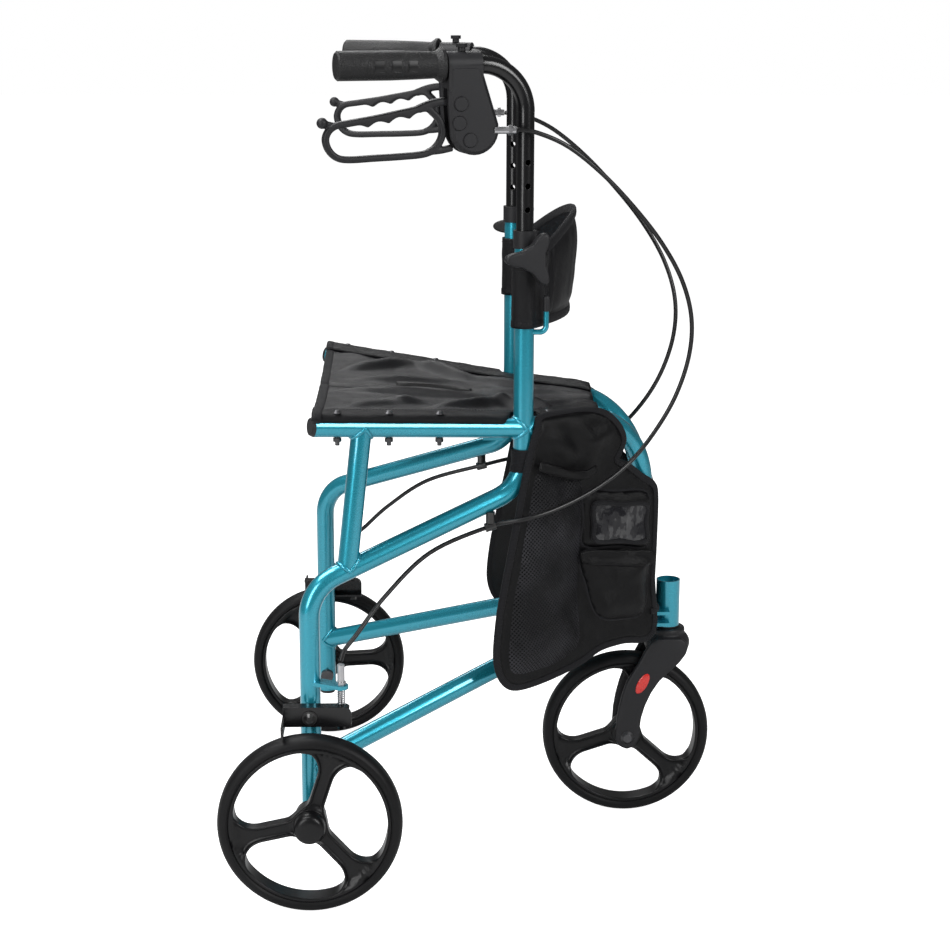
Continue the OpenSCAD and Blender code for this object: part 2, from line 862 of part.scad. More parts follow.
// Flat link of the folding brace; the upper link has a wide eye round the lower link's pin
module brace_link(lift, upper) {
    run = knee - [brace_pivot.x, brace_pivot.y];
    eye_r = upper ? link_pin_r + knee_slack + knee_edge : link_w / 2;
    color(steel) translate([0, 0, link_low + lift]) {
        linear_extrude(link_t) difference() {
            union() {
                translate([brace_pivot.x, brace_pivot.y]) circle(r = link_w / 2);
                translate(knee) circle(r = eye_r);
                translate([brace_pivot.x, brace_pivot.y]) rotate(atan2(run.y, run.x))
                    translate([0, -link_bar / 2]) square([norm(run), link_bar]);
            }
            translate([brace_pivot.x, brace_pivot.y]) circle(r = link_pin_r + run_fit);
            if (upper) translate(knee) circle(r = link_pin_r + knee_slack);
        }
        if (!upper) translate([knee.x, knee.y, link_t]) {
            cylinder(h = link_step + rest_gap + link_head_h, r = link_pin_r);
            translate([0, 0, link_step + rest_gap])
                cylinder(h = link_head_h, r = link_pin_r + knee_slack + link_head_h);
        }
    }
}

module strut() {
    color(frame_paint) difference() {
        bar(strut_top, strut_low, tube_r);
        bar(strut_top, strut_low, bore_r);
        bar(rail_rear, rail_front, tube_r + weld_gap);
        bar(high_corner, low_corner, tube_r + weld_gap);
    }
}

module front_tube() {
    color(frame_paint) difference() {
        bent_tube(front_path, front_bend_r, tube_r, tube_wall);
        bar(top_end, high_corner, tube_r + weld_gap);
    }
}

module lower_tube() {
    color(frame_paint) difference() {
        bar(lower_rear, lower_front, tube_r);
        bar(lower_rear, lower_front, bore_r);
        bar(low_corner, leg_end, tube_r + weld_gap);
        bar(front_path[0], front_path[1], tube_r + weld_gap);
    }
}

// Plug with a tapered flange at the end p of a tube that points along d
module tube_plug(p, d) {
    aim(p, d) {
        cylinder(h = plug_flange, r1 = tube_r, r2 = tube_r - plug_taper);
        translate([0, 0, -plug_depth]) cylinder(h = plug_depth, r = bore_r - run_fit);
    }
}

// Black fittings of the frame: two plugs, the collar, the hook's tip and the hinge bush
module caps() {
    hook_end = [upright.x + hook_out, upright.y - hook_side, hook_z + hook_rise];
    color(black_plastic) {
        tube_plug(rail_rear, rail_rear - rail_front);
        tube_plug(leg_end, leg_end - low_corner);
        translate([upright.x, upright.y, upright_top_h]) difference() {
            translate([0, 0, -collar_h]) cylinder(h = collar_h + collar_lip, r = tube_r + collar_t);
            translate([0, 0, -collar_h - overrun]) cylinder(h = collar_h + overrun, r = tube_r + run_fit);
            cylinder(h = collar_lip + overrun, r = handle_r + handle_fit);
        }
        translate(hook_end) {
            cylinder(h = hook_tip_h - hook_tip_r, r = hook_tip_r);
            translate([0, 0, hook_tip_h - hook_tip_r]) sphere(r = hook_tip_r);
        }
        translate([hinge.x, hinge.y, front_tube_low]) difference() {
            union() {
                cylinder(h = pin_h / 2, r = bore_r - run_fit);
                translate([0, 0, rest_gap - bush_lip]) cylinder(h = bush_lip - rest_gap, r = tube_r);
            }
            translate([0, 0, -overrun]) cylinder(h = pin_h, r = pin_r + run_fit);
        }
    }
}

module seat_screws() {
    color("dimgray") for (t = screw_shares) translate(mix(rail_front, rail_rear, t)) {
        head_z = seat_lift + rest_gap + cloth_t;
        nut_z = -tube_r - seat_gap - screw_nut_h;
        translate([0, 0, nut_z - screw_tail]) cylinder(h = head_z - nut_z + screw_tail, r = screw_r);
        translate([0, 0, head_z]) cylinder(h = screw_head_h, r1 = screw_head_r, r2 = screw_head_r / 2);
        translate([0, 0, nut_z]) cylinder(h = screw_nut_h, r = screw_nut_r, $fn = 6);
    }
}

// Rear brake

// Outline of the brake arm in X and Z round its pivot
module arm_outline() {
    translate([-arm_rear, -arm_down]) square([arm_rear + arm_front - arm_round, arm_down + arm_up]);
    translate([-arm_rear, -arm_down]) square([arm_rear + arm_front, arm_down + arm_up - arm_round]);
    translate([arm_front - arm_round, arm_up - arm_round]) circle(r = arm_round);
}

module brake_arm() {
    tyre_z = wheel_r + sqrt(wheel_r * wheel_r - arm_rear * arm_rear);
    web_y = arm_out_y + arm_t;
    color(black_plastic) difference() {
        union() {
            translate([leg.x, arm_in_y, brake_z]) rotate([90, 0, 0]) linear_extrude(arm_depth) arm_outline();
            translate([leg.x - arm_rear, -track / 2 - tyre_w / 2, tyre_z + pad_gap])
                cube([arm_t, track / 2 + tyre_w / 2 + arm_out_y + arm_t,
                    brake_z + arm_up - arm_round - tyre_z - pad_gap]);
            translate([wire_line.x, wire_line.y, brake_z - arm_down - clamp_h])
                cylinder(h = clamp_h, r = clamp_r, $fn = 6);
        }
        translate([leg.x - arm_rear - overrun, web_y, brake_z - arm_down + arm_t])
            cube([arm_rear + arm_front + overrun * 2, arm_depth, arm_down + arm_up - arm_t * 2]);
        translate([leg.x, arm_out_y - overrun, brake_z]) rotate([-90, 0, 0])
            cylinder(h = arm_t + overrun * 2, r = brake_bolt_r + run_fit);
    }
}

// Silver fittings on the frame: pivot bolt of the brake, lower cable adjuster and cable clip
module cable_fittings() {
    root = [leg.x, leg.y, brake_z];
    seat = [leg.x, arm_out_y + arm_t + rest_gap, brake_z];
    out = [0, -1, 0];
    shoulder = [leg.x, arm_out_y - rest_gap, brake_z];
    pts = curve(cable_route, cable_steps);
    clip = pts[clip_at * cable_steps];
    clip_run = unit(pts[clip_at * cable_steps + 1] - pts[clip_at * cable_steps - 1]);
    clip_bore = cable_r + rest_gap * 2;
    clip_r = clip_bore + clip_wall;
    color(steel) {
        bar(root + out * bore_r, shoulder, brake_bolt_r);
        difference() {
            bar(root, seat, brake_spacer_r);
            bar(low_corner, leg_end, tube_r + weld_gap);
        }
        aim(shoulder, out) {
            cylinder(h = brake_washer_t, r = brake_washer_r);
            translate([0, 0, brake_washer_t])
                cylinder(h = brake_head_h, r1 = brake_head_r, r2 = brake_head_r / 2);
        }
        translate([wire_line.x, wire_line.y, tab_z]) difference() {
            union() {
                cylinder(h = adjuster_h, r = adjuster_r - run_fit);
                translate([0, 0, tab_t]) cylinder(h = adjuster_nut_h, r = adjuster_nut_r, $fn = 6);
            }
            translate([0, 0, -overrun]) cylinder(h = adjuster_h, r = wire_r + rest_gap);
        }
        difference() {
            union() {
                bar(clip - clip_run * clip_len / 2, clip + clip_run * clip_len / 2, clip_r);
                bar(clip + [0, 0, clip_r - clip_lap], clip + [0, 0, tube_d], clip_r);
            }
            bar(clip - clip_run * clip_len, clip + clip_run * clip_len, clip_bore);
            bar(high_corner, low_corner, tube_r + weld_gap);
            translate([clip.x - tube_d * 2, clip.y - tube_d * 2, clip.z + tube_d * clip_reach_share])
                cube(tube_d * 4);
        }
    }
}

// Return spring and the bare wire inside it
spring_low = brake_z + arm_up + spring_wire_r + rest_gap;
spring_high = tab_z - spring_wire_r - rest_gap;
spring_points = [
    for (i = [0 : spring_turns * spring_steps])
        let (a = 360 * i / spring_steps, t = i / (spring_turns * spring_steps))
            [wire_line.x + spring_r * cos(a), wire_line.y + spring_r * sin(a),
             mix(spring_low, spring_high, t)]
];
spring_gap = min([
    for (i = [0 : (spring_turns - 1) * spring_steps])
        norm(spring_points[i + spring_steps] - spring_points[i]) - spring_wire_r * 2
]);
echo(str("least gap of the spring to itself, mm: ", spring_gap));

module spring() {
    color(steel) {
        swept_tube(spring_points, spring_wire_r, spring_sides, [0, 0, 1]);
        translate([wire_line.x, wire_line.y, brake_z + arm_up + rest_gap])
            cylinder(h = tab_z - brake_z - arm_up - rest_gap + plug_flange, r = wire_r);
    }
}

module cable() {
    color(black_plastic) swept_tube(curve(cable_route, cable_steps), cable_r, cable_sides, [0, 1, 0]);
}

// Handles

module handle_tube() {
    color(black_plastic) difference() {
        bent_tube(handle_path, handle_bend_r, handle_r, handle_wall);
        for (i = [-holes_below : holes_above]) {
            c = [upright.x, upright.y, knob_z + i * hole_pitch];
            bar(c - outward * handle_d, c + outward * handle_d, hole_r);
        }
    }
}

// Grip, revolved round the handle, with a flange in front and a closed end
module grip() {
    r = grip_d / 2;
    front = handle_reach - grip_len;
    tube_end = handle_reach - grip_end_t;
    color(black_plastic) aim(handle_point(0, handle_h), back) rotate_extrude() polygon([
        [handle_r + run_fit, front], [r + grip_flange - grip_edge, front],
        [r + grip_flange, front + grip_edge],
        [r + grip_flange, front + grip_flange_len - grip_edge],
        [r + grip_flange - grip_edge, front + grip_flange_len],
        [r - grip_neck, front + grip_flange_len * 2], [r - grip_neck / 2, front + grip_len / 4],
        [r, front + grip_len / 2], [r, handle_reach - grip_edge * 2],
        [r - grip_edge * 2, handle_reach],
        [0, handle_reach], [0, tube_end + run_fit], [handle_r + run_fit, tube_end + run_fit]
    ]);
}

// Round corners of the housing's outline: reach of the housing, drop of the pivot, and radius in that drop
housing_shares = [[0.678, 1.675, 0.675], [0.911, 1, 0.2], [0.667, 0.2, 0.2], [0.911, 0.2, 0.2]];
housing_rounds = [
    for (c = housing_shares) [[housing_back * c[0], handle_h - pivot_drop * c[1]], pivot_drop * c[2]]
];

module housing_outline(inset) {
    hull() for (c = housing_rounds) translate(c[0]) circle(r = c[1] - inset, $fn = 32);
}

// Moulded lever housing: bevelled body, clamp round the tube and a slot for the lever
module housing() {
    slot = lever_t + lever_fit * 2;
    clamp_from = handle_bend_r + clamp_space;
    band = housing_back - clamp_from;
    color(black_plastic) difference() {
        union() {
            hull() {
                in_handle_plane(-housing_t / 2 + housing_edge)
                    linear_extrude(housing_t - housing_edge * 2) housing_outline(0);
                in_handle_plane(-housing_t / 2) linear_extrude(housing_t) housing_outline(housing_edge);
            }
            aim(handle_point(clamp_from, handle_h), back) cylinder(h = band, r = clamp_round);
            in_handle_plane(-clamp_round) linear_extrude(clamp_round * 2)
                translate([clamp_from, handle_h - clamp_round * 2]) square([band, clamp_round * 2]);
        }
        aim(handle_point(-overrun, handle_h), back) cylinder(h = handle_reach, r = handle_r + run_fit);
        in_handle_plane(-slot / 2) linear_extrude(slot)
            translate([pivot_s - slot_lead, handle_h - pivot_drop * 3])
                square([handle_reach, pivot_drop * 3 - slot_drop]);
        aim(handle_point(pivot_s, handle_h - pivot_drop, -housing_t), inward)
            cylinder(h = housing_t * 2, r = pivot_pin_r + run_fit);
        aim(handle_point(barrel_s + barrel_seat, handle_h - barrel_drop, -barrel_side), [1, 0, 0])
            cylinder(h = barrel_len, r = barrel_r);
    }
}

// Screw caps on the outer cheek, the lever's pivot pin and the clamp bolt
cap_shares = [[1, 1], [1.026, 1.5], [0.87, 1.95]];

module housing_caps() {
    color(black_plastic) {
        for (c = cap_shares)
            aim(handle_point(pivot_s * c[0], handle_h - pivot_drop * c[1], -housing_t / 2), -inward)
            cylinder(h = cap_t, r1 = cap_r, r2 = cap_r - cap_bevel);
        aim(handle_point(pivot_s, handle_h - pivot_drop, -housing_t / 2), inward)
            cylinder(h = housing_t, r = pivot_pin_r);
        aim(handle_point(housing_back - clamp_round - plug_flange, handle_h + clamp_round), [0, 0, 1]) {
            cylinder(h = clamp_bolt_h / 2, r = clamp_bolt_r);
            translate([0, 0, clamp_bolt_h / 2]) cylinder(h = clamp_bolt_h / 2, r = clamp_head_r, $fn = 6);
        }
    }
}

module barrel() {
    start = handle_point(barrel_s + barrel_seat, handle_h - barrel_drop, -barrel_side);
    tip = start + [barrel_reach, 0, 0];
    color(steel) difference() {
        union() {
            bar(start + [overrun, 0, 0], tip, barrel_r - run_fit);
            aim(tip - [barrel_r * 2, 0, 0], [1, 0, 0]) cylinder(h = barrel_r, r = barrel_nut_r, $fn = 6);
        }
        bar(start, tip + [overrun, 0, 0], wire_r + rest_gap);
    }
}

// Round corners of the loop lever: reach of the handle, drop of the pivot, and radius in that drop
lever_shares = [[0.971, 1.625, 0.25], [0.517, 1.1, 0.325], [0.545, 2.05, 0.375], [0.9, 2, 0.5]];
lever_rounds = [
    for (c = lever_shares) [[handle_reach * c[0], handle_h - pivot_drop * c[1]], pivot_drop * c[2]]
];
finger_shares = [0.22, 0.42, 0.62];
finger_width_share = 0.9;
finger_lift = 4;
lever_neck = 3;
lever_heel = [17, 1];
tip_shares = [1.048, 1.525];
tip_place = [handle_reach * tip_shares[0], handle_h - pivot_drop * tip_shares[1]];

module lever_edge(inset) {
    hull() for (c = lever_rounds) translate(c[0]) circle(r = c[1] - inset, $fn = 32);
}

module lever() {
    root = [pivot_s, handle_h - pivot_drop];
    top_rear = lever_rounds[0][0] + [0, lever_rounds[0][1] - lever_bar];
    top_front = lever_rounds[1][0] + [0, lever_rounds[1][1] - lever_bar];
    color(black_plastic) difference() {
        in_handle_plane(-lever_t / 2) {
            linear_extrude(lever_t) difference() {
                union() {
                    lever_edge(0);
                    hull() {
                        translate(root) circle(r = pivot_pin_r * 3, $fn = 32);
                        translate(lever_rounds[1][0]) circle(r = lever_rounds[1][1] - lever_neck, $fn = 32);
                        translate(lever_rounds[2][0] - lever_heel) circle(r = pivot_pin_r * 2, $fn = 32);
                    }
                    hull() {
                        translate(tip_place) circle(r = lever_bar / 2, $fn = 32);
                        translate(lever_rounds[0][0]) circle(r = lever_bar / 2, $fn = 32);
                    }
                }
                lever_edge(lever_bar);
                for (t = finger_shares) translate(mix(top_rear, top_front, t) - [0, finger_lift])
                    circle(r = lever_bar * finger_width_share);
            }
            translate([tip_place.x, tip_place.y, lever_t / 2]) sphere(r = tip_r);
        }
        aim(handle_point(pivot_s, handle_h - pivot_drop, -lever_t), inward)
            cylinder(h = lever_t * 2, r = pivot_pin_r + run_fit);
    }
}

// Three-winged height knob with its threaded stud
module knob() {
    seat = [upright.x, upright.y, knob_z];
    root = handle_r + handle_fit;
    color(black_plastic) aim(seat, outward) {
        translate([0, 0, root]) cylinder(h = boss_reach - root + knob_hub_h, r = stud_r);
        translate([0, 0, boss_reach + rest_gap]) cylinder(h = knob_hub_h, r = knob_hub_r);
        translate([0, 0, boss_reach + rest_gap + knob_hub_h]) linear_extrude(knob_t) difference() {
            circle(r = knob_r);
            for (i = [0 : 2]) rotate(i * 120) translate([scallop_out, 0]) circle(r = scallop_r);
        }
        translate([0, 0, boss_reach + knob_hub_h + knob_t])
            cylinder(h = knob_hub_h, r1 = knob_cap_r, r2 = knob_hub_r / 2);
    }
}

// Fabric pieces

// Height of the seat tubes' axis and half the distance between them, at a place x
bend_start = hinge_x - front_bend_r * upright_back / norm(upright - hinge);
function seat_axis_z(x) =
    x < upright.x ? mix(seat_front_h, seat_rear_h, (upright.x - x) / (upright.x - rail_rear.x))
    : seat_front_h + (cos(seat_slope(x)) - 1) * front_bend_r;
// Angle at which the tubes under the seat fall in the front bend
function seat_slope(x) = asin(max(0, (x - bend_start) / (hinge_x - bend_start)));
function seat_half(x) =
    x < upright.x ? mix(-upright.y, -rail_rear.y, (upright.x - x) / (upright.x - rail_rear.x))
    : mix(-upright.y, -hinge.y, (x - upright.x) / upright_back);
function seat_point(i, j) =
    let (
        x = mix(rail_rear.x + seat_rear_in, seat_front_x, i / seat_rows),
        half = seat_half(x),
        y = (j / seat_columns * 2 - 1) * (half + seat_hem),
        low = max(0, 1 - (y / half) * (y / half)) * seat_sag * half / (rail_spread / 2)
    )
        [x, y, seat_axis_z(x) + seat_lift / cos(seat_slope(x)) + cloth_t - low];

// Closed cloth of the given thickness under a grid of points with columns + 1 points a row
module cloth(points, columns, t) {
    n = len(points);
    rows = n / (columns + 1) - 1;
    w = columns + 1;
    both = concat(points, [for (p = points) p - [0, 0, t]]);
    sheets = [
        for (i = [0 : rows - 1], j = [0 : columns - 1])
            let (a = i * w + j)
                each [
                    [a, a + 1, a + w + 1], [a, a + w + 1, a + w],
                    [n + a, n + a + w + 1, n + a + 1], [n + a, n + a + w, n + a + w + 1]
                ]
    ];
    rim = concat(
        [for (j = [0 : columns - 1]) j],
        [for (i = [0 : rows - 1]) i * w + columns],
        [for (j = [0 : columns - 1]) rows * w + columns - j],
        [for (i = [0 : rows - 1]) (rows - i) * w]
    );
    edges = [
        for (k = [0 : len(rim) - 1])
            let (a = rim[k], b = rim[(k + 1) % len(rim)])
                each [[a, n + a, b], [b, n + a, n + b]]
    ];
    polyhedron(points = both, faces = concat(sheets, edges));
}

module seat_sling() {
    points = [for (i = [0 : seat_rows], j = [0 : seat_columns]) seat_point(i, j)];
    color(black_cloth) difference() {
        cloth(points, seat_columns, cloth_t);
        for (side = [-1, 1]) {
            translate([upright.x, upright.y * side, seat_front_h])
                cylinder(h = tube_d * 2, r = tube_r + notch_gap);
            for (t = screw_shares) {
                c = mix(rail_front, rail_rear, t);
                translate([c.x, c.y * side, c.z]) cylinder(h = tube_d * 2, r = screw_r + screw_fit);
            }
        }
    }
}

// Padded band bowed forward between the uprights, with a sleeve on each
function band_point(u, a) =
    let (
        r = (upright.y * upright.y + band_bow * band_bow) / (2 * band_bow),
        reach = asin((-upright.y - tube_r * band_tuck_share) / r),
        swell = 1 - pow(abs(u), 3),
        half_t = mix(band_end_t, band_t, swell) / 2,
        half_h = mix(band_end_h, band_h, swell) / 2,
        mid = mix(band_end_low, band_low, swell) + half_h,
        c = sign(cos(a)) * pow(abs(cos(a)), 0.5),
        s = sign(sin(a)) * pow(abs(sin(a)), 0.5),
        out = r + half_t * c
    )
        [upright.x + band_bow - r + out * cos(reach * u), out * sin(reach * u), mid + half_h * s];

module backrest_band() {
    rings = [
        for (i = [0 : band_steps], k = [0 : band_sides - 1])
            band_point(i / band_steps * 2 - 1, 360 * k / band_sides + 180 / band_sides)
    ];
    walls = [
        for (i = [0 : band_steps - 1], k = [0 : band_sides - 1])
            let (a = i * band_sides + k, b = i * band_sides + (k + 1) % band_sides)
                each [[a, b, b + band_sides], [a, b + band_sides, a + band_sides]]
    ];
    last = band_steps * band_sides;
    ends = [for (k = [1 : band_sides - 2]) each [[0, k + 1, k], [last, last + k, last + k + 1]]];
    color(black_cloth) difference() {
        union() {
            polyhedron(rings, concat(walls, ends));
            for (side = [-1, 1]) translate([upright.x, upright.y * side, sleeve_low])
                cylinder(h = sleeve_h, r = tube_r + rest_gap + sleeve_t);
        }
        for (side = [-1, 1]) translate([upright.x, upright.y * side, sleeve_low - overrun])
            cylinder(h = sleeve_h * 2, r = tube_r + rest_gap);
    }
}

// Side panel of the bag, outside a front tube
module bag_side() {
    run = unit([upright.x - hinge.x, upright.y - hinge.y, 0]);
    out = [-run.y, run.x, 0];
    o = [hinge.x, hinge.y, 0] + out * (tube_r + bag_gap);
    multmatrix([
        [run.x, 0, out.x, o.x],
        [run.y, 0, out.y, o.y],
        [0, 1, 0, o.z],
        [0, 0, 0, 1]
    ])
        linear_extrude(bag_t) polygon(bag_edge);
}

// Bag: two side panels joined by a nose that wraps round the front tubes
module storage_bag() {
    nose_in = tube_r + bag_gap;
    eye_r = tube_r + ring_fit + ring_edge;
    color(black_cloth) difference() {
        union() {
            bag_side();
            mirror([0, 1, 0]) bag_side();
            translate([0, 0, nose_low]) linear_extrude(nose_top - nose_low) {
                translate([hinge.x + nose_in, hinge.y]) square([bag_t, hinge_spacing]);
                for (side = [-1, 1]) translate([hinge.x, hinge.y * side]) intersection() {
                    ring(nose_in + bag_t, bag_t);
                    scale([1, side]) translate([-tube_r / 2, -tube_d * 2]) square([tube_d * 2, tube_d * 2]);
                }
            }
        }
        for (side = [-1, 1]) translate([hinge.x, hinge.y * side, 0])
            cylinder(h = ring_low + plate_t + overrun, r = eye_r + bag_gap);
    }
}

stem_tube();
head_bracket();
hinge_pins();
stem_bushes();
seat_sling();
backrest_band();
storage_bag();
fork();
steerer();
front_axle();
fork_reflectors();
on_front_axle() rim(front_spin, front_hub_half, front_hub_half, 0);  // front_rim
on_front_axle() tyre();  // front_tyre
on_front_axle() bushes(front_hub_half, front_hub_half);  // front_bushes
main_tube();  // right_main_tube
seat_rail(0);  // right_seat_rail
strut();  // right_strut
front_tube();  // right_front_tube
lower_tube();  // right_lower_tube
caps();  // right_caps
seat_screws();  // right_seat_screws
rear_axle();  // right_axle
cable_fittings();  // right_cable_fittings
spring();  // right_spring
cable();  // right_cable
handle_tube();  // right_handle_tube
grip();  // right_grip
housing();  // right_housing
housing_caps();  // right_housing_caps
barrel();  // right_barrel
lever();  // right_lever
brake_arm();  // right_brake_arm
knob();  // right_knob
rear_rim();  // right_rim
rear_tyre();  // right_tyre
rear_bushes();  // right_bushes
brace_link(0, false);  // right_brace
left_side() main_tube();  // left_main_tube
left_side() seat_rail(link_step);  // left_seat_rail
left_side() strut();  // left_strut
left_side() front_tube();  // left_front_tube
left_side() lower_tube();  // left_lower_tube
left_side() caps();  // left_caps
left_side() seat_screws();  // left_seat_screws
left_side() rear_axle();  // left_axle
left_side() cable_fittings();  // left_cable_fittings
left_side() spring();  // left_spring
left_side() cable();  // left_cable
left_side() handle_tube();  // left_handle_tube
left_side() grip();  // left_grip
left_side() housing();  // left_housing
left_side() housing_caps();  // left_housing_caps
left_side() barrel();  // left_barrel
left_side() lever();  // left_lever
left_side() brake_arm();  // left_brake_arm
left_side() knob();  // left_knob
left_side() rear_rim();  // left_rim
left_side() rear_tyre();  // left_tyre
left_side() rear_bushes();  // left_bushes
left_side() brace_link(link_step, true);  // left_brace
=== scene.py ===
"""Looks of a three wheel rollator: finishes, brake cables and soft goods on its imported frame."""
import json
import math

import bmesh
import bpy
import numpy as np
from bpy.props import FloatProperty, FloatVectorProperty, PointerProperty
from mathutils import Matrix, Vector, noise
from mathutils.geometry import delaunay_2d_cdt


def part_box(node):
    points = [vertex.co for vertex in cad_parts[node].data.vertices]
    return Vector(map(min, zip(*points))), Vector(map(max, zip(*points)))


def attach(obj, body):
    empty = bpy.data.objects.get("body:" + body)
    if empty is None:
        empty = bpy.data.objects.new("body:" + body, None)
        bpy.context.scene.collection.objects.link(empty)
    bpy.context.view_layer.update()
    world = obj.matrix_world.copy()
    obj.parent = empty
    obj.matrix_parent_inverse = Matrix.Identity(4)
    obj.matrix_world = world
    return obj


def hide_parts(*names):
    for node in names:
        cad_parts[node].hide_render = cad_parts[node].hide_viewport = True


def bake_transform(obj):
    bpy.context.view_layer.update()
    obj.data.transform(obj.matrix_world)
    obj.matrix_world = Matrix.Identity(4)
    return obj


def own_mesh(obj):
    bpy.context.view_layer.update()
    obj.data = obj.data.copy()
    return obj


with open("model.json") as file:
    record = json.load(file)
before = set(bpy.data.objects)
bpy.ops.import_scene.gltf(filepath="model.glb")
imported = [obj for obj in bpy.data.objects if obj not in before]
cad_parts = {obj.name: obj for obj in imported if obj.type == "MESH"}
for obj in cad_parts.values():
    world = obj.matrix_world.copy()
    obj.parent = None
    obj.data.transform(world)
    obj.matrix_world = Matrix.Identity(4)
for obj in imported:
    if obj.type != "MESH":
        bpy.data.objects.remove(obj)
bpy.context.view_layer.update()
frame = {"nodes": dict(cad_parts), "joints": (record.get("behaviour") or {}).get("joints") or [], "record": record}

bl_info = {
    "name": "Three Wheel Rollator",
    "version": (1, 0, 0),
    "blender": (4, 5, 0),
    "location": "View3D > Sidebar > Rollator",
    "description": "Finishes, cables and soft goods of a folding three wheel rollator",
    "category": "Object",
}

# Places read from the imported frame, on the right-hand side, which lies at negative Y

JOINTS = {joint["name"]: joint for joint in frame["joints"]}
HINGE = Vector(JOINTS["right_fold"]["pos_m"])
UPRIGHT = Vector(JOINTS["right_height"]["pos_m"])
SIDES = {"right": 1, "left": -1}

# Frame sizes that the soft goods lie on, in metres

TUBE_R = 0.0111
RAIL_REAR = Vector((-0.177, -0.214, 0.523))
RAIL_FRONT = Vector((UPRIGHT.x, UPRIGHT.y, 0.501))
FRONT_BEND = 0.090
CORNER_HIGH = Vector((UPRIGHT.x, UPRIGHT.y, 0.435))
CORNER_LOW = Vector((-0.184, -0.222, 0.347))
MAIN_BEND = 0.045
UP = Vector((0, 0, 1))
RUN = Vector((UPRIGHT.x - HINGE.x, UPRIGHT.y - HINGE.y, 0)).normalized()
OUT = Vector((-RUN.y, RUN.x, 0))


# Shader maths

class Wire:
    """A shader socket; sums with it add the Math nodes that work them out."""

    def __init__(self, look, socket):
        self.look = look
        self.socket = socket

    def math(self, operation, first, second):
        return self.look.add("ShaderNodeMath", {"operation": operation}, {0: first, 1: second})

    def __add__(self, other):
        return self.math("ADD", self, other)

    def __radd__(self, other):
        return self.math("ADD", other, self)

    def __sub__(self, other):
        return self.math("SUBTRACT", self, other)

    def __rsub__(self, other):
        return self.math("SUBTRACT", other, self)

    def __mul__(self, other):
        return self.math("MULTIPLY", self, other)

    def __rmul__(self, other):
        return self.math("MULTIPLY", other, self)

    def __gt__(self, other):
        return self.math("GREATER_THAN", self, other)


class Graph:
    """A node tree that is written as plain calls."""

    def __init__(self, tree):
        self.tree = tree
        tree.nodes.clear()

    def add(self, kind, settings=None, values=None, out=0):
        node = self.tree.nodes.new(kind)
        for key, value in (settings or {}).items():
            setattr(node, key, value)
        for key, value in (values or {}).items():
            self.feed(node.inputs[key], value)
        return Wire(self, node.outputs[out]) if len(node.outputs) else None

    def feed(self, socket, value):
        if isinstance(value, Wire):
            self.tree.links.new(value.socket, socket)
        else:
            socket.default_value = value


class Look(Graph):
    """A material with its places in the frame and on a cloth's own flat measures."""

    def __init__(self, name):
        self.material = bpy.data.materials.new(name)
        self.material.use_nodes = True
        super().__init__(self.material.node_tree)
        self.place = self.add("ShaderNodeTexCoord", out="Object")
        self.flat = self.add("ShaderNodeTexCoord", out="UV")

    def noise(self, scale, detail=3.0, stretch=None, place=None):
        vector = place or self.place
        if stretch:
            vector = self.add("ShaderNodeMapping", None, {"Vector": vector, "Scale": stretch})
        values = {"Vector": vector, "Scale": scale, "Detail": detail}
        return self.add("ShaderNodeTexNoise", None, values, out="Fac")

    def span(self, value, low, high, to_low=0.0, to_high=1.0):
        """The value's stretch from low to high, clamped, as another stretch."""
        values = {"Value": value, "From Min": low, "From Max": high, "To Min": to_low, "To Max": to_high}
        return self.add("ShaderNodeMapRange", {"clamp": True}, values)

    def mix(self, share, first, second):
        """A colour between two colours."""
        values = {0: share, 6: (*first, 1) if isinstance(first, tuple) else first}
        values[7] = (*second, 1) if isinstance(second, tuple) else second
        return self.add("ShaderNodeMix", {"data_type": "RGBA"}, values, out=2)

    def part(self, axis, vector):
        """One part of a vector: X, Y or Z."""
        return self.add("ShaderNodeSeparateXYZ", None, {"Vector": vector}, out=axis)

    def wave(self, value, pitch):
        """A smooth wave from 0 to 1 along a length."""
        turn = value * (2 * math.pi / pitch)
        return self.add("ShaderNodeMath", {"operation": "SINE"}, {0: turn}) * 0.5 + 0.5

    def soft_edges(self, radius):
        return self.add("ShaderNodeBevel", {"samples": 4}, {"Radius": radius})

    def bump(self, height, distance, strength=1.0, normal=None):
        values = {"Height": height, "Distance": distance, "Strength": strength}
        if normal:
            values["Normal"] = normal
        return self.add("ShaderNodeBump", None, values)

    def shade(self, values):
        shader = self.add("ShaderNodeBsdfPrincipled", None, values)
        self.add("ShaderNodeOutputMaterial", None, {"Surface": shader})
        return self.material


# Finishes

def tone(key, factor=1.0, lift=0.0):
    """A colour of the settings, made paler or darker."""
    return tuple(min(1.0, c * factor + lift) for c in getattr(bpy.context.scene.rollator, key))


def frame_paint(name):
    """Teal metallic paint with fine flakes under a clear coat."""
    look = Look(name)
    flakes = look.noise(2600, 1)
    cloud = look.noise(7, 2)
    colour = look.mix(cloud, tone("paint", 0.88), tone("paint", 1.1))
    grain = look.span(flakes, 0.35, 0.7)
    colour = look.mix(grain * 0.25, colour, tone("paint", 1.5, 0.02))
    return look.shade({
        "Base Color": colour,
        "Metallic": 0.6,
        "Roughness": 0.24 + 0.08 * grain,
        "Coat Weight": 1.0,
        "Coat Roughness": 0.05,
        "Normal": look.bump(look.noise(90, 2), 0.00006),
    })


def tube_paint(name):
    """Black powder coat of the handle tubes and the brake arms."""
    look = Look(name)
    grain = look.noise(1500, 2)
    return look.shade({
        "Base Color": look.mix(look.noise(30), tone("black"), tone("black", 1.5)),
        "Roughness": 0.16 + 0.12 * grain,
        "Specular IOR Level": 0.5,
        "Normal": look.bump(grain, 0.00003, normal=look.soft_edges(0.0006)),
    })


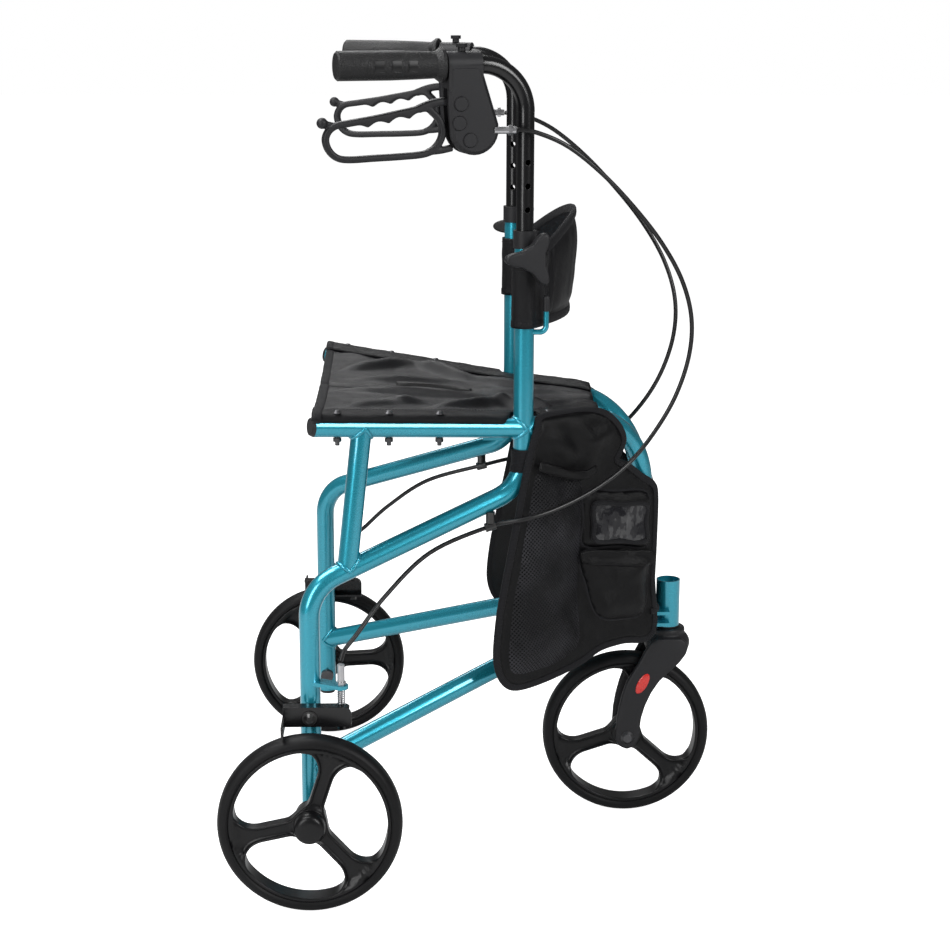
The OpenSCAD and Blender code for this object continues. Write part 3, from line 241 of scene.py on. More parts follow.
def moulded_plastic(name):
    """Black nylon mouldings with a fine spark-eroded grain."""
    look = Look(name)
    grain = look.noise(1900, 3)
    scuff = look.span(look.noise(22, 4), 0.5, 0.75)
    return look.shade({
        "Base Color": look.mix(scuff * 0.5, tone("black", 3.4), tone("black", 4.6)),
        "Roughness": 0.42 + 0.12 * grain + 0.06 * scuff,
        "Specular IOR Level": 0.3,
        "Normal": look.bump(grain, 0.00006, normal=look.soft_edges(0.0009)),
    })


def wheel_plastic(name):
    """Smoother, shinier plastic of the wheels."""
    look = Look(name)
    grain = look.noise(1200, 2)
    cloud = look.noise(14, 3)
    return look.shade({
        "Base Color": look.mix(cloud, tone("black"), tone("black", 1.6)),
        "Roughness": 0.26 + 0.12 * cloud,
        "Specular IOR Level": 0.3,
        "Normal": look.bump(grain, 0.00003, normal=look.soft_edges(0.0012)),
    })


def tyre_rubber(name):
    """Solid tyre rubber, a little dusty on the tread."""
    look = Look(name)
    dust = look.span(look.noise(40, 5), 0.45, 0.8)
    grain = look.noise(1400, 3)
    return look.shade({
        "Base Color": look.mix(dust * 0.5, tone("rubber"), tone("rubber", 1.9, 0.002)),
        "Roughness": 0.46 + 0.15 * dust,
        "Specular IOR Level": 0.2,
        "Normal": look.bump(grain, 0.00008, normal=look.soft_edges(0.001)),
    })


# Smooth finger pads of a grip: front end, pitch, number and height in the frame
GRIP_PADS_X = -0.064
GRIP_PAD_PITCH = 0.0175
GRIP_PAD_COUNT = 3
GRIP_Z = 0.897


def grip_rubber(name):
    """Soft grip rubber with a pebbled skin and a row of smooth pads on its sides."""
    look = Look(name)
    pebble = look.add("ShaderNodeTexVoronoi", {"feature": "SMOOTH_F1"}, {"Vector": look.place, "Scale": 760})
    wear = look.span(look.noise(25, 3), 0.4, 0.8)
    along = (GRIP_PADS_X - look.part("X", look.place)) * (1 / GRIP_PAD_PITCH)
    up = look.part("Z", look.place) - GRIP_Z
    row = (along > 0.0) * (GRIP_PAD_COUNT - along > 0.0)
    pads = look.span(look.wave(along, 1.0), 0.30, 0.42) * row * look.span(up * up, 0.00003, 0.00005, 1.0, 0.0)
    rough = 1.0 - pads
    return look.shade({
        "Base Color": look.mix(wear * 0.6, tone("rubber"), tone("rubber", 1.5)),
        "Roughness": 0.34 + (0.12 + 0.15 * wear) * rough,
        "Specular IOR Level": 0.4,
        "Normal": look.bump(pebble * rough - pads * 0.8, 0.0006, normal=look.soft_edges(0.0006)),
    })


ZINC_DULL = (0.42, 0.42, 0.44)
ZINC_BRIGHT = (0.66, 0.66, 0.67)


def plated_skin(look):
    """Fine unevenness of plated steel, with eased edges."""
    return look.bump(look.noise(900, 2), 0.00003, normal=look.soft_edges(0.0003))


def zinc_steel(name):
    """Bright zinc plate with faint clouding."""
    look = Look(name)
    cloud = look.noise(120, 4)
    return look.shade({
        "Base Color": look.mix(cloud, ZINC_DULL, ZINC_BRIGHT),
        "Metallic": 1.0,
        "Roughness": 0.24 + 0.2 * cloud,
        "Normal": plated_skin(look),
    })


def dark_steel(name):
    """Blackened screw steel."""
    look = Look(name)
    cloud = look.noise(160, 4)
    return look.shade({
        "Base Color": look.mix(cloud, (0.06, 0.06, 0.065), (0.14, 0.14, 0.145)),
        "Metallic": 0.9,
        "Roughness": 0.3 + 0.2 * cloud,
        "Normal": plated_skin(look),
    })


# Heights between which the brake's cable end is bright; the bolts and clips beside it are black
BRIGHT_LOW = 0.224
BRIGHT_HIGH = 0.300


def fitting_steel(name):
    """Bright cable ends with blackened bolts and clips."""
    look = Look(name)
    cloud = look.noise(140, 4)
    z = look.part("Z", look.place)
    bright = (z > BRIGHT_LOW) * (BRIGHT_HIGH - z > 0.0)
    dark = look.mix(cloud, (0.05, 0.05, 0.05), (0.10, 0.10, 0.10))
    return look.shade({
        "Base Color": look.mix(bright, dark, look.mix(cloud, ZINC_DULL, ZINC_BRIGHT)),
        "Metallic": 0.95,
        "Roughness": 0.26 + 0.2 * cloud,
        "Normal": plated_skin(look),
    })


def reflector_plastic(name):
    """Red reflector with a moulded prism pattern."""
    look = Look(name)
    prism = look.add("ShaderNodeTexVoronoi", {"distance": "CHEBYCHEV"}, {"Vector": look.place, "Scale": 550})
    return look.shade({
        "Base Color": look.mix(prism, (0.75, 0.03, 0.02), (0.42, 0.01, 0.01)),
        "Roughness": 0.22,
        "Coat Weight": 0.6,
        "Normal": look.bump(prism, 0.0003),
    })


def cable_sheath(name):
    """Black PVC outer of the brake cables."""
    look = Look(name)
    scuff = look.span(look.noise(60, 4), 0.5, 0.8)
    return look.shade({
        "Base Color": look.mix(scuff, tone("black"), tone("black", 2.2)),
        "Roughness": 0.34 + 0.15 * scuff,
        "Normal": look.bump(look.noise(700, 2), 0.00003),
    })


def weave_height(look, pitch):
    """Over and under of a plain weave, on the cloth's own flat measures."""
    across = look.part("X", look.flat)
    along = look.part("Y", look.flat)
    over = look.wave(across, pitch) * look.wave(along, pitch * 2)
    under = look.wave(across + pitch / 2, pitch) * look.wave(along + pitch, pitch * 2)
    return over + under


def woven(name, paleness, pitch, roughness, shine):
    """A woven cloth with its yarns and faint creases; the dips of the weave are painted darker, as painted shade
    between the yarns.
    """
    look = Look(name)
    weave = weave_height(look, pitch)
    crease = look.noise(28, 5, stretch=(1, 1.6, 1))
    slub = look.span(look.noise(240, 2, stretch=(1, 6, 1), place=look.flat), 0.45, 0.7)
    # Painted shade: the cloth is darkest where the weave dips between yarns and takes its full colour on the high
    # points
    colour = look.mix(look.span(weave, 0, 1.2), tone("cloth", paleness * 0.7), tone("cloth", paleness))
    colour = look.mix(slub * 0.35, colour, tone("cloth", paleness * 1.5))
    fold = look.bump(crease, 0.0016, strength=0.55)
    return look.shade({
        "Base Color": colour,
        "Roughness": roughness + 0.12 * look.span(crease, 0.3, 0.7),
        "Specular IOR Level": shine,
        "Normal": look.bump(weave, pitch * 0.16, normal=fold),
    })


def seat_cloth(name):
    """Tight, smooth cloth of the sling."""
    return woven(name, 1.3, 0.0011, 0.35, 0.26)


def hem_cloth(name):
    """Duller cloth of the seat's hems."""
    return woven(name, 0.9, 0.0013, 0.42, 0.15)


def bag_cloth(name):
    """Dark coated cloth of the bag."""
    return woven(name, 0.5, 0.0014, 0.28, 0.2)


def band_cloth(name):
    """Shiny cloth of the backrest."""
    return woven(name, 1.1, 0.0012, 0.32, 0.2)


def binding_tape(name):
    """Ribbed grosgrain tape, its rib crests painted lighter than the dips between them as painted highlight and
    shade.
    """
    look = Look(name)
    ribs = look.wave(look.part("Y", look.flat), 0.0016)
    fuzz = look.noise(600, 3)
    return look.shade({
        # Painted highlight and shade: lighter on the rib crests and darker in the dips; the fuzz is random tone
        "Base Color": look.mix(ribs * 0.6 + fuzz * 0.4, tone("cloth", 0.9), tone("cloth", 2.4)),
        "Roughness": 0.6 + 0.2 * fuzz,
        "Specular IOR Level": 0.15,
        "Sheen Weight": 0.05,
        "Normal": look.bump(ribs + fuzz * 0.5, 0.0004),
    })


def thread(name):
    """Twisted sewing thread."""
    look = Look(name)
    twist = look.noise(1500, 2)
    return look.shade({
        "Base Color": look.mix(twist, tone("cloth", 2.4), tone("cloth", 4.0)),
        "Roughness": 0.5 + 0.2 * twist,
        "Specular IOR Level": 0.2,
        "Normal": look.bump(twist, 0.0001),
    })


# Distance between the holes of the net
NET_PITCH = 0.0046


def net_cloth(name):
    """Knitted mesh: staggered round holes in a black net, its threads lifted far above the cloth's colour in
    random patches of painted highlight.
    """
    look = Look(name)
    pitch = NET_PITCH
    # lit: random patches in which the threads are painted brighter, a painted highlight
    lit = look.span(look.noise(17, 3), 0.42, 0.64, 0.16, 1.0)
    across = look.part("X", look.flat)
    along = look.part("Y", look.flat)
    holes = look.wave(across, pitch) * look.wave(along, pitch)
    holes = holes + look.wave(across + pitch / 2, pitch) * look.wave(along + pitch / 2, pitch)
    thread_height = look.span(holes, 0.45, 0.85, 1.0, 0.0)
    return look.shade({
        # The thread colour, far paler than the cloth, is painted highlight, dimmed outside the lit patches
        "Base Color": look.mix(thread_height * lit, (0.002, 0.002, 0.003), tone("cloth", 4.6)),
        "Roughness": 0.55 + 0.1 * look.noise(300),
        "Specular IOR Level": 0.3,
        "Alpha": look.span(holes, 0.62, 0.72, 1.0, 0.05),
        "Normal": look.bump(thread_height, 0.0007),
    })


def clear_film(name):
    """Limp clear vinyl of the window pocket, over a dark card."""
    look = Look(name)
    ripple = look.noise(42, 2, stretch=(1.6, 1, 1), place=look.flat)
    streak = look.span(look.noise(46, 3, stretch=(2.0, 1, 1), place=look.flat), 0.47, 0.53)
    return look.shade({
        "Base Color": look.mix(ripple, (0.005, 0.005, 0.007), (0.012, 0.012, 0.015)),
        "Roughness": 0.36 - 0.30 * streak,
        "Specular IOR Level": 0.5,
        "Coat Weight": streak,
        "Alpha": 0.85 + 0.1 * ripple,
        "Normal": look.bump(ripple, 0.004, strength=0.8),
    })


FINISHES = {
    "frame_teal": frame_paint,
    "tube_black": tube_paint,
    "plastic_black": moulded_plastic,
    "wheel_plastic": wheel_plastic,
    "tyre_black": tyre_rubber,
    "grip_black": grip_rubber,
    "steel": zinc_steel,
    "dark_steel": dark_steel,
    "fitting_steel": fitting_steel,
    "reflector_red": reflector_plastic,
    "cable_sheath": cable_sheath,
    "seat_cloth": seat_cloth,
    "hem_cloth": hem_cloth,
    "bag_cloth": bag_cloth,
    "band_cloth": band_cloth,
    "binding_tape": binding_tape,
    "thread": thread,
    "net_cloth": net_cloth,
    "clear_film": clear_film,
}
SOFT_SLOT = "cloth_black"


def finish(name):
    """The finish of that name, made at its first use."""
    title = f"{name}_finish"
    return bpy.data.materials.get(title) or FINISHES[name](title)


# Mesh tools

TURNED_SIDES = 40
# Distance between the rows of a cloth's grid, and from it to the cloth's edge, in spacings
ROW_SHARE = 0.87
EDGE_SHARE = 0.55
SEWING_STEP = 0.004
FACING_STEP = 0.001
STITCH_PITCH = 0.0038
STITCH_LONG = 0.0028
STITCH_R = 0.00034
STITCH_SIDES = 5
STITCH_LIFT = 0.6
# Places along a stitch, in lengths, and its thickness there
STITCH_SHAPE = [(-0.5, 0.35), (-0.25, 1.0), (0.25, 1.0), (0.5, 0.35)]
# Stands in for a length of zero, and distance at which points of a flat cloth become one
TINY = 1e-12
MERGE = 1e-7


def piece(name, points, faces, look, flat=None):
    """A smooth mesh piece with its finish and, where given, its flat measures."""
    mesh = bpy.data.meshes.new(name)
    mesh.from_pydata([tuple(p) for p in points], [], faces)
    mesh.shade_smooth()
    if flat is not None:
        layer = mesh.uv_layers.new(name="flat")
        for loop in mesh.loops:
            layer.data[loop.index].uv = flat[loop.vertex_index]
    mesh.materials.append(finish(look))
    made = bpy.data.objects.new(name, mesh)
    bpy.context.scene.collection.objects.link(made)
    return made


def settle(made):
    """Makes a piece's modifiers part of its mesh."""
    shown = made.evaluated_get(bpy.context.evaluated_depsgraph_get())
    old = made.data
    made.data = bpy.data.meshes.new_from_object(shown)
    made.modifiers.clear()
    bpy.data.meshes.remove(old)
    made.data.name = made.name
    return made


def on_side(p, side):
    """A right-hand point, mirrored for the left side."""
    return Vector((p[0], p[1] * SIDES[side], p[2]))


def flip(points):
    return list(reversed(points))


def sided(points, side):
    """Points in the right-hand order, or turned round for the left, so that faces look outwards."""
    return points if side == "right" else flip(points)


def level(points):
    """Flat places as points in space."""
    return [Vector((p[0], p[1], 0)) for p in points]


def turns(steps):
    """The angles of a full turn, in equal steps."""
    return [2 * math.pi * k / steps for k in range(steps)]


def ripple(a, b, waves, seed):
    """Soft noise over a cloth, with about so many waves to a unit each way."""
    return noise.noise(Vector((a * waves[0], b * waves[1], seed)))


def fit(made, body, node=None):
    """Lets a piece ride on a body, and stand for a node where one is given."""
    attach(made, body)
    if node:
        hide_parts(node)


def curve(points, steps, closed=False):
    """A smooth curve through given points."""
    p = [Vector(q) for q in points]
    n = len(p)
    spans = n if closed else n - 1
    line = []
    for i in range(spans):
        if closed:
            a, b, c, d = (p[(i + k - 1) % n] for k in range(4))
        else:
            a, b, c, d = p[max(i - 1, 0)], p[i], p[i + 1], p[min(i + 2, n - 1)]
        for k in range(steps):
            t = k / steps
            line.append(b + (c - a) * (t / 2) + (2 * a - 5 * b + 4 * c - d) * (t * t / 2)
                        + (3 * b - a - 3 * c + d) * (t ** 3 / 2))
    return line if closed else line + [p[-1]]


def spaced(points, step, closed=False):
    """The line again with points about a step apart."""
    line = np.array([tuple(p) for p in points] + ([tuple(points[0])] if closed else []), float)
    along = np.concatenate([[0], np.cumsum(np.linalg.norm(np.diff(line, axis=0), axis=1))])
    count = max(3, round(along[-1] / step))
    at = np.linspace(0, along[-1], count + 1)
    found = np.stack([np.interp(at, along, line[:, k]) for k in range(line.shape[1])], axis=1)
    return [Vector(q) for q in (found[:-1] if closed else found)]


def length_of(points):
    return sum((b - a).length for a, b in zip(points, points[1:]))


def skin(rings, closed=False, capped=True):
    """Points and faces through rings of as many points each; closed joins the last ring to the first."""
    n = len(rings[0])
    points = [p for ring in rings for p in ring]
    faces = []
    for i in range(len(rings) if closed else len(rings) - 1):
        j = (i + 1) % len(rings)
        for k in range(n):
            m = (k + 1) % n
            faces.append((i * n + k, i * n + m, j * n + m, j * n + k))
    if capped and not closed:
        faces.append(tuple(reversed(range(n))))
        faces.append(tuple(range((len(rings) - 1) * n, len(rings) * n)))
    return points, faces


def gathered(shells):
    """Several closed skins as one list of points and faces."""
    points, faces = [], []
    for more, around in shells:
        faces += [tuple(k + len(points) for k in face) for face in around]
        points += more
    return points, faces


def turned(profile, centre, closed=False):
    """A skin turned round an upright axis from radii and heights."""
    rings = []
    for r, z in profile:
        rings.append([centre + Vector((r * math.cos(t), r * math.sin(t), z)) for t in turns(TURNED_SIDES)])
    return skin(rings, closed)


def loft(name, rings, look, closed=False, capped=True):
    """A piece through rings, with flat measures around and along them."""
    n = len(rings[0])
    points, faces = skin(rings, closed, capped)
    along = 0.0
    flat = []
    for i, ring in enumerate(rings):
        if i:
            along += (ring[0] - rings[i - 1][0]).length
        around = 0.0
        for k in range(n):
            if k:
                around += (ring[k] - ring[k - 1]).length
            flat.append((around, along))
    return piece(name, points, faces, look, flat)


def rings_along(path, profile, normals=None, closed=False):
    """Copies of a flat profile, set square to a path; normals give its upright direction."""
    count = len(path)
    rings = []
    up = None
    for i, p in enumerate(path):
        if closed:
            tangent = (path[(i + 1) % count] - path[i - 1]).normalized()
        else:
            tangent = (path[min(i + 1, count - 1)] - path[max(i - 1, 0)]).normalized()
        if normals:
            up = normals[i]
        elif up is None:
            up = tangent.orthogonal()
        up = (up - tangent * up.dot(tangent)).normalized()
        side = tangent.cross(up)
        rings.append([p + side * q[0] + up * q[1] for q in profile])
    return rings


def round_profile(width, height, sides=10, power=1.0):
    """An oval or a rounded oblong."""
    def bent(value):
        return math.copysign(abs(value) ** power, value)
    return [(width / 2 * bent(math.cos(t)), height / 2 * bent(math.sin(t))) for t in turns(sides)]


def cord_tube(name, path, radius, sides, look):
    """A round cord or wire along a path."""
    return loft(name, rings_along(path, round_profile(radius * 2, radius * 2, sides)), look)


def inside(outline, places):
    """Which places lie inside a closed outline."""
    edge = np.array([tuple(p)[:2] for p in outline], float)
    x, y = places[:, 0], places[:, 1]
    hit = np.zeros(len(places), bool)
    for a, b in zip(edge, np.roll(edge, -1, axis=0)):
        crosses = (a[1] > y) != (b[1] > y)
        run = np.where(crosses, (b[0] - a[0]) * (y - a[1]) / ((b[1] - a[1]) or TINY) + a[0], 0)
        hit ^= crosses & (x < run)
    return hit


def edge_distance(outline, places):
    """How far each place is from an outline."""
    edge = np.array([tuple(p)[:2] for p in outline], float)
    best = np.full(len(places), np.inf)
    for a, b in zip(edge, np.roll(edge, -1, axis=0)):
        d = b - a
        t = np.clip(((places - a) @ d) / max(d @ d, TINY), 0, 1)
        best = np.minimum(best, np.linalg.norm(places - a - t[:, None] * d, axis=1))
    return best


def cut_cloth(name, outline, spacing, place, look, thick):
    """Cloth cut to a flat outline and laid in space by place(a, b)."""
    edge = spaced(level(outline), spacing, closed=True)
    corners = np.array([p[:2] for p in edge])
    low, high = corners.min(0), corners.max(0)
    grid = []
    for row, b in enumerate(np.arange(low[1], high[1], spacing * ROW_SHARE)):
        for a in np.arange(low[0] + spacing / 2 * (row % 2), high[0], spacing):
            grid.append((a, b))
    grid = np.array(grid)
    grid = grid[inside(edge, grid)]
    grid = grid[edge_distance(edge, grid) > spacing * EDGE_SHARE]
    flat = [Vector(p[:2]) for p in edge] + [Vector(p) for p in grid]
    result = delaunay_2d_cdt(flat, [], [list(range(len(edge)))], 1, MERGE)
    points = [place(p.x, p.y) for p in result[0]]
    made = piece(name, points, [tuple(f) for f in result[2]], look, [tuple(p) for p in result[0]])
    if thick:
        shell = made.modifiers.new("cloth", "SOLIDIFY")
        shell.thickness = thick
        shell.offset = -1
        settle(made)
    return made


def facing(place, a, b):
    """The direction in which cloth laid by place(a, b) faces."""
    p = place(a, b)
    return (place(a + FACING_STEP, b) - p).cross(place(a, b + FACING_STEP) - p).normalized()


def tape(name, outline, place, width, height, look="binding_tape", inset=0.0, closed=True):
    """Binding tape sewn round the edge of a cloth, or along a line on it."""
    flat = spaced(level(outline), SEWING_STEP, closed)
    path = [place(p.x, p.y) for p in flat]
    normals = [facing(place, p.x, p.y) for p in flat]
    if inset:
        for i, p in enumerate(path):
            ahead = path[(i + 1) % len(path)] - path[i - 1]
            p += normals[i].cross(ahead.normalized()) * inset
    rings = rings_along(path, round_profile(width, height, 10, 0.7), normals, closed)
    return loft(name, rings, look, closed=closed)


def stitches(name, lines):
    """Rows of single stitches; each line is a list of (point, normal)."""
    shells = []
    for line in lines:
        marks = [p for p, _ in line]
        path = spaced(marks, STITCH_PITCH)
        at = 0
        for here, there in zip(path, path[1:]):
            while at < len(marks) - 2 and (marks[at + 1] - here).length < (marks[at] - here).length:
                at += 1
            tangent = (there - here).normalized()
            up = line[at][1]
            side = tangent.cross(up).normalized()
            rings = []
            for share, swell in STITCH_SHAPE:
                middle = here + tangent * (STITCH_LONG * share) + up * (STITCH_R * STITCH_LIFT * swell)
                rings.append([middle + (side * math.cos(t) + up * math.sin(t)) * STITCH_R * swell
                              for t in turns(STITCH_SIDES)])
            shells.append(skin(rings))
    return piece(name, *gathered(shells), "thread")


def sewn_line(flat, place, lift=0.0):
    """A stitch line along flat places on a cloth."""
    line = []
    for p in spaced(level(flat), SEWING_STEP):
        normal = facing(place, p.x, p.y)
        line.append((place(p.x, p.y) + normal * lift, normal))
    return line


# Brake cables and their springs

CABLE_ROUTE = [
    (0.040, -0.138, 0.829), (0.062, -0.139, 0.826), (0.096, -0.135, 0.811), (0.133, -0.126, 0.782),
    (0.170, -0.113, 0.744), (0.203, -0.099, 0.703), (0.228, -0.086, 0.660), (0.241, -0.076, 0.616),
    (0.240, -0.071, 0.572), (0.226, -0.071, 0.526), (0.203, -0.075, 0.486), (0.175, -0.086, 0.454),
    (0.138, -0.110, 0.431), (0.094, -0.135, 0.414), (0.054, -0.150, 0.404), (0.014, -0.147, 0.395),
    (-0.053, -0.168, 0.371), (-0.102, -0.199, 0.331), (-0.133, -0.226, 0.296), (-0.146, -0.237, 0.282),
    (-0.150, -0.241, 0.271),
]
CABLE_STEPS = 8
CABLE_SIDES = 14


def make_cables(diameter):
    for side in SIDES:
        path = curve([on_side(p, side) for p in CABLE_ROUTE], CABLE_STEPS)
        made = cord_tube(f"{side}_brake_cable", path, diameter / 2, CABLE_SIDES, "cable_sheath")
        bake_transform(made)
        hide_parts(f"{side}_cable")
        tuple(path[0])
        length_of(path)
        [tuple(p) for p in path]


SPRING_R = 0.0038
SPRING_WIRE_R = 0.00065
SPRING_TURNS = 7
SPRING_STEPS = 28
SPRING_RISE = 0.0175
INNER_WIRE_R = 0.0008
WIRE_SIDES = 8


def make_springs():
    for side in SIDES:
        low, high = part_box(f"{side}_spring")
        middle = (low + high) / 2
        base = low.z + SPRING_WIRE_R
        top = base + SPRING_RISE
        count = SPRING_TURNS * SPRING_STEPS
        path = []
        for i in range(count + 1):
            turn = 2 * math.pi * i / SPRING_STEPS
            x = middle.x + SPRING_R * math.cos(turn)
            y = middle.y + SPRING_R * math.sin(turn)
            path.append(Vector((x, y, base + (top - base) * i / count)))
        coil = cord_tube(f"{side}_return_spring", path, SPRING_WIRE_R, WIRE_SIDES, "steel")
        fit(coil, f"{side}_frame", f"{side}_spring")
        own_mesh(coil)
        wire_path = [Vector((middle.x, middle.y, z)) for z in (low.z, (low.z + high.z) / 2, high.z)]
        wire = cord_tube(f"{side}_brake_wire", wire_path, INNER_WIRE_R, WIRE_SIDES, "steel")
        fit(wire, f"{side}_frame")
        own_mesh(wire)


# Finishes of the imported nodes

# Endings of node names whose look isn't that of their slot
NODE_LOOKS = {
    "cable_fittings": "fitting_steel",
    "axle": "dark_steel",
    "seat_screws": "dark_steel",
    "hinge_pins": "dark_steel",
}


def paint_frame():
    for row in frame["record"]["subparts"]:
        node = frame["nodes"][row["node"]]
        look = row["material_slot"]
        for ending, other in NODE_LOOKS.items():
            if row["node"].endswith(ending):
                look = other
        if look == SOFT_SLOT:
            look = "seat_cloth"
        node.data.materials.clear()
        node.data.materials.append(finish(look))


# Moulded pieces that take the place of plainer solids

EASE_FACTOR = 0.5


def melted(name, shells, voxel, rounds):
    """One moulded skin from closed skins that run into each other, with soft inner corners."""
    made = piece(name, *gathered(shells), "plastic_black")
    remesh = made.modifiers.new("one_skin", "REMESH")
    remesh.mode = "VOXEL"
    remesh.voxel_size = voxel
    remesh.use_smooth_shade = True
    ease = made.modifiers.new("soft_corners", "SMOOTH")
    ease.factor = EASE_FACTOR
    ease.iterations = rounds
    return settle(made)


def eased(t):
    """A smooth step from 0 to 1."""
    t = min(max(t, 0.0), 1.0)
    return t * t * (3 - 2 * t)


# Wheels: spokes that flare into the rim, with a flange round each window

RIM_R = 0.088
RIM_HALF = 0.012
HUB_R = 0.017
WINDOW_TOP = 0.0838
WINDOW_LOW = 0.0185
SPOKE_HALF = 0.0085
FLARE_R = 0.029
HUB_FILLET_R = 0.008
FLANGE_HALF = 0.0080
FLANGE_T = 0.0016
WEB_HALF = 0.0038
PLATE_LOW = 0.013
EDGE_R = 0.0010
SECTOR_MID = 0.050
SPOKE_COUNT = 3
SPOKE_TURN = math.radians(60)
SECTOR_RAYS = (24, 22, 6)
# Halvings that find a window's edge, distance at which points become one, and width of a spoke's middle line
EDGE_TRIES = 40
JOIN_DISTANCE = 0.000002
LINE_WIDTH = 0.00001
# Distances from a window's edge at which the wheel's face is measured
FACE_STEPS = (0, 0.0005, 0.0011, 0.0018, 0.0028, 0.0040, 0.0080, 0.0140, 1.0)
# Radius and height of the hubs' outlines, outwards along the axle
REAR_HUB = [
    (0.0003, 0.0230), (0.0118, 0.0230), (0.0120, 0.0228), (0.0120, 0.0102), (0.0080, 0.0100),
    (0.0080, -0.0220), (0.0162, -0.0220), (0.0170, -0.0212), (0.0170, 0.0170), (0.0168, 0.0196),
    (0.0160, 0.0222), (0.0144, 0.0242), (0.0120, 0.0255), (0.0080, 0.0262), (0.0003, 0.0265),
]
FRONT_HUB = [
    (0.0080, -0.0155), (0.0162, -0.0155), (0.0170, -0.0147),
    (0.0170, 0.0147), (0.0162, 0.0155), (0.0080, 0.0155),
]
# Wheel, angle of its first spoke, direction of its outer face along Y, outline of its hub
WHEELS = [("right", 72, -1, REAR_HUB), ("left", 3, 1, REAR_HUB), ("front", 78, -1, FRONT_HUB)]


def fillet(a, b, r):
    """Depth inside a corner of two edges that is rounded to a radius."""
    return r - math.hypot(max(r - a, 0), max(r - b, 0))


def window_depth(x, y):
    """How deep a place lies in a window whose middle is along x; less than 0 outside it."""
    r = math.hypot(x, y)
    spoke = x * math.sin(SPOKE_TURN) - abs(y) * math.cos(SPOKE_TURN) - SPOKE_HALF
    return min(fillet(WINDOW_TOP - r, spoke, FLARE_R), fillet(r - WINDOW_LOW, spoke, HUB_FILLET_R))


def wheel_half(x, y):
    """Half the thickness of a wheel at a place on its face."""
    r = math.hypot(x, y)
    edge = max(-window_depth(x, y), 0)
    half = WEB_HALF + (FLANGE_HALF - WEB_HALF) * (1 - eased((edge - FLANGE_T) / FLANGE_T))
    half += (FLANGE_HALF - half) * (1 - eased((r - HUB_R) / (EDGE_R * 6)))
    half += (RIM_HALF - half) * eased((r - WINDOW_TOP + EDGE_R * 4) / (EDGE_R * 3))
    corner = max(1 - edge / EDGE_R, 1 - (RIM_R - r) / EDGE_R, 0)
    return half - EDGE_R * corner ** 2


def sector_reach(turn):
    """From a window's middle to the bounds of its third of the wheel."""
    c, s = math.cos(turn), abs(math.sin(turn))
    outer = (SECTOR_MID * c) ** 2 - SECTOR_MID ** 2 + RIM_R ** 2
    inner = (SECTOR_MID * c) ** 2 - SECTOR_MID ** 2 + PLATE_LOW ** 2
    reach = [math.sqrt(outer) - SECTOR_MID * c]
    slope = math.tan(SPOKE_TURN)
    if s > c * slope:
        reach.append(SECTOR_MID * slope / (s - c * slope))
    if c < 0 and inner > 0:
        reach.append(-SECTOR_MID * c - math.sqrt(inner))
    return min(reach)


def sector_columns():
    """Columns over a third of a wheel, each from the inner face round a window's edge to the outer face."""
    stops = [0]
    for r in (RIM_R, PLATE_LOW):
        stops.append(math.atan2(r * math.sin(SPOKE_TURN), r * math.cos(SPOKE_TURN) - SECTOR_MID))
    stops.append(math.pi)
    rays = [a + (b - a) * k / n for a, b, n in zip(stops, stops[1:], SECTOR_RAYS) for k in range(n)]
    rays += [math.pi] + [-t for t in reversed(rays[1:])]
    columns = []
    for turn in rays:
        reach = sector_reach(turn)
        low, high = 0.0, reach
        for _ in range(EDGE_TRIES):
            mid = (low + high) / 2
            if window_depth(SECTOR_MID + mid * math.cos(turn), mid * math.sin(turn)) > 0:
                low = mid
            else:
                high = mid
        face = []
        for k, step in enumerate(FACE_STEPS):
            d = low + min(step, (reach - low) * k / (len(FACE_STEPS) - 1))
            x, y = SECTOR_MID + d * math.cos(turn), d * math.sin(turn)
            face.append((x, y, wheel_half(x, y)))
        wall = face[0][2] - EDGE_R
        edge = [(*face[0][:2], -wall), (*face[0][:2], wall)]
        columns.append([(x, y, -z) for x, y, z in reversed(face)] + edge + face)
    return columns


def wheel_plate(first_spoke):
    """Rim, spokes and flanges, with the first spoke at an angle from x."""
    columns = sector_columns()
    high = len(columns[0])
    points, faces = [], []
    for sector in range(SPOKE_COUNT):
        turn = math.radians(first_spoke) + SPOKE_TURN * (2 * sector + 1)
        c, s = math.cos(turn), math.sin(turn)
        start = len(points)
        points += [Vector((x * c - y * s, x * s + y * c, z)) for column in columns for x, y, z in column]
        for i, column in enumerate(columns):
            j = (i + 1) % len(columns)
            a, b = start + i * high, start + j * high
            faces += [(a + k, b + k, b + k + 1, a + k + 1) for k in range(high - 1)]
            ends = [column[0], columns[j][0]]
            if max(abs(abs(y) - x * math.tan(SPOKE_TURN)) for x, y, _ in ends) > LINE_WIDTH:
                faces.append((a + high - 1, b + high - 1, b, a))
    return points, faces


def make_wheels():
    for name, first_spoke, out, outline in WHEELS:
        low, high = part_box(f"{name}_tyre")
        middle = (Vector(low) + Vector(high)) / 2
        hub = turned(outline, Vector((0, 0, 0)), closed=outline is FRONT_HUB)
        points, faces = gathered([wheel_plate(first_spoke), hub])
        placed = [middle + Vector((p.x, p.z * out, p.y)) for p in points]
        made = piece(f"{name}_spoked_rim", placed, faces, "wheel_plastic")
        mesh = bmesh.new()
        mesh.from_mesh(made.data)
        bmesh.ops.remove_doubles(mesh, verts=mesh.verts, dist=JOIN_DISTANCE)
        bmesh.ops.recalc_face_normals(mesh, faces=mesh.faces)
        mesh.to_mesh(made.data)
        mesh.free()
        fit(made, f"{name}_wheel", f"{name}_rim")


# Caster fork: two curved blades that run into a round crown, with a reflector on each

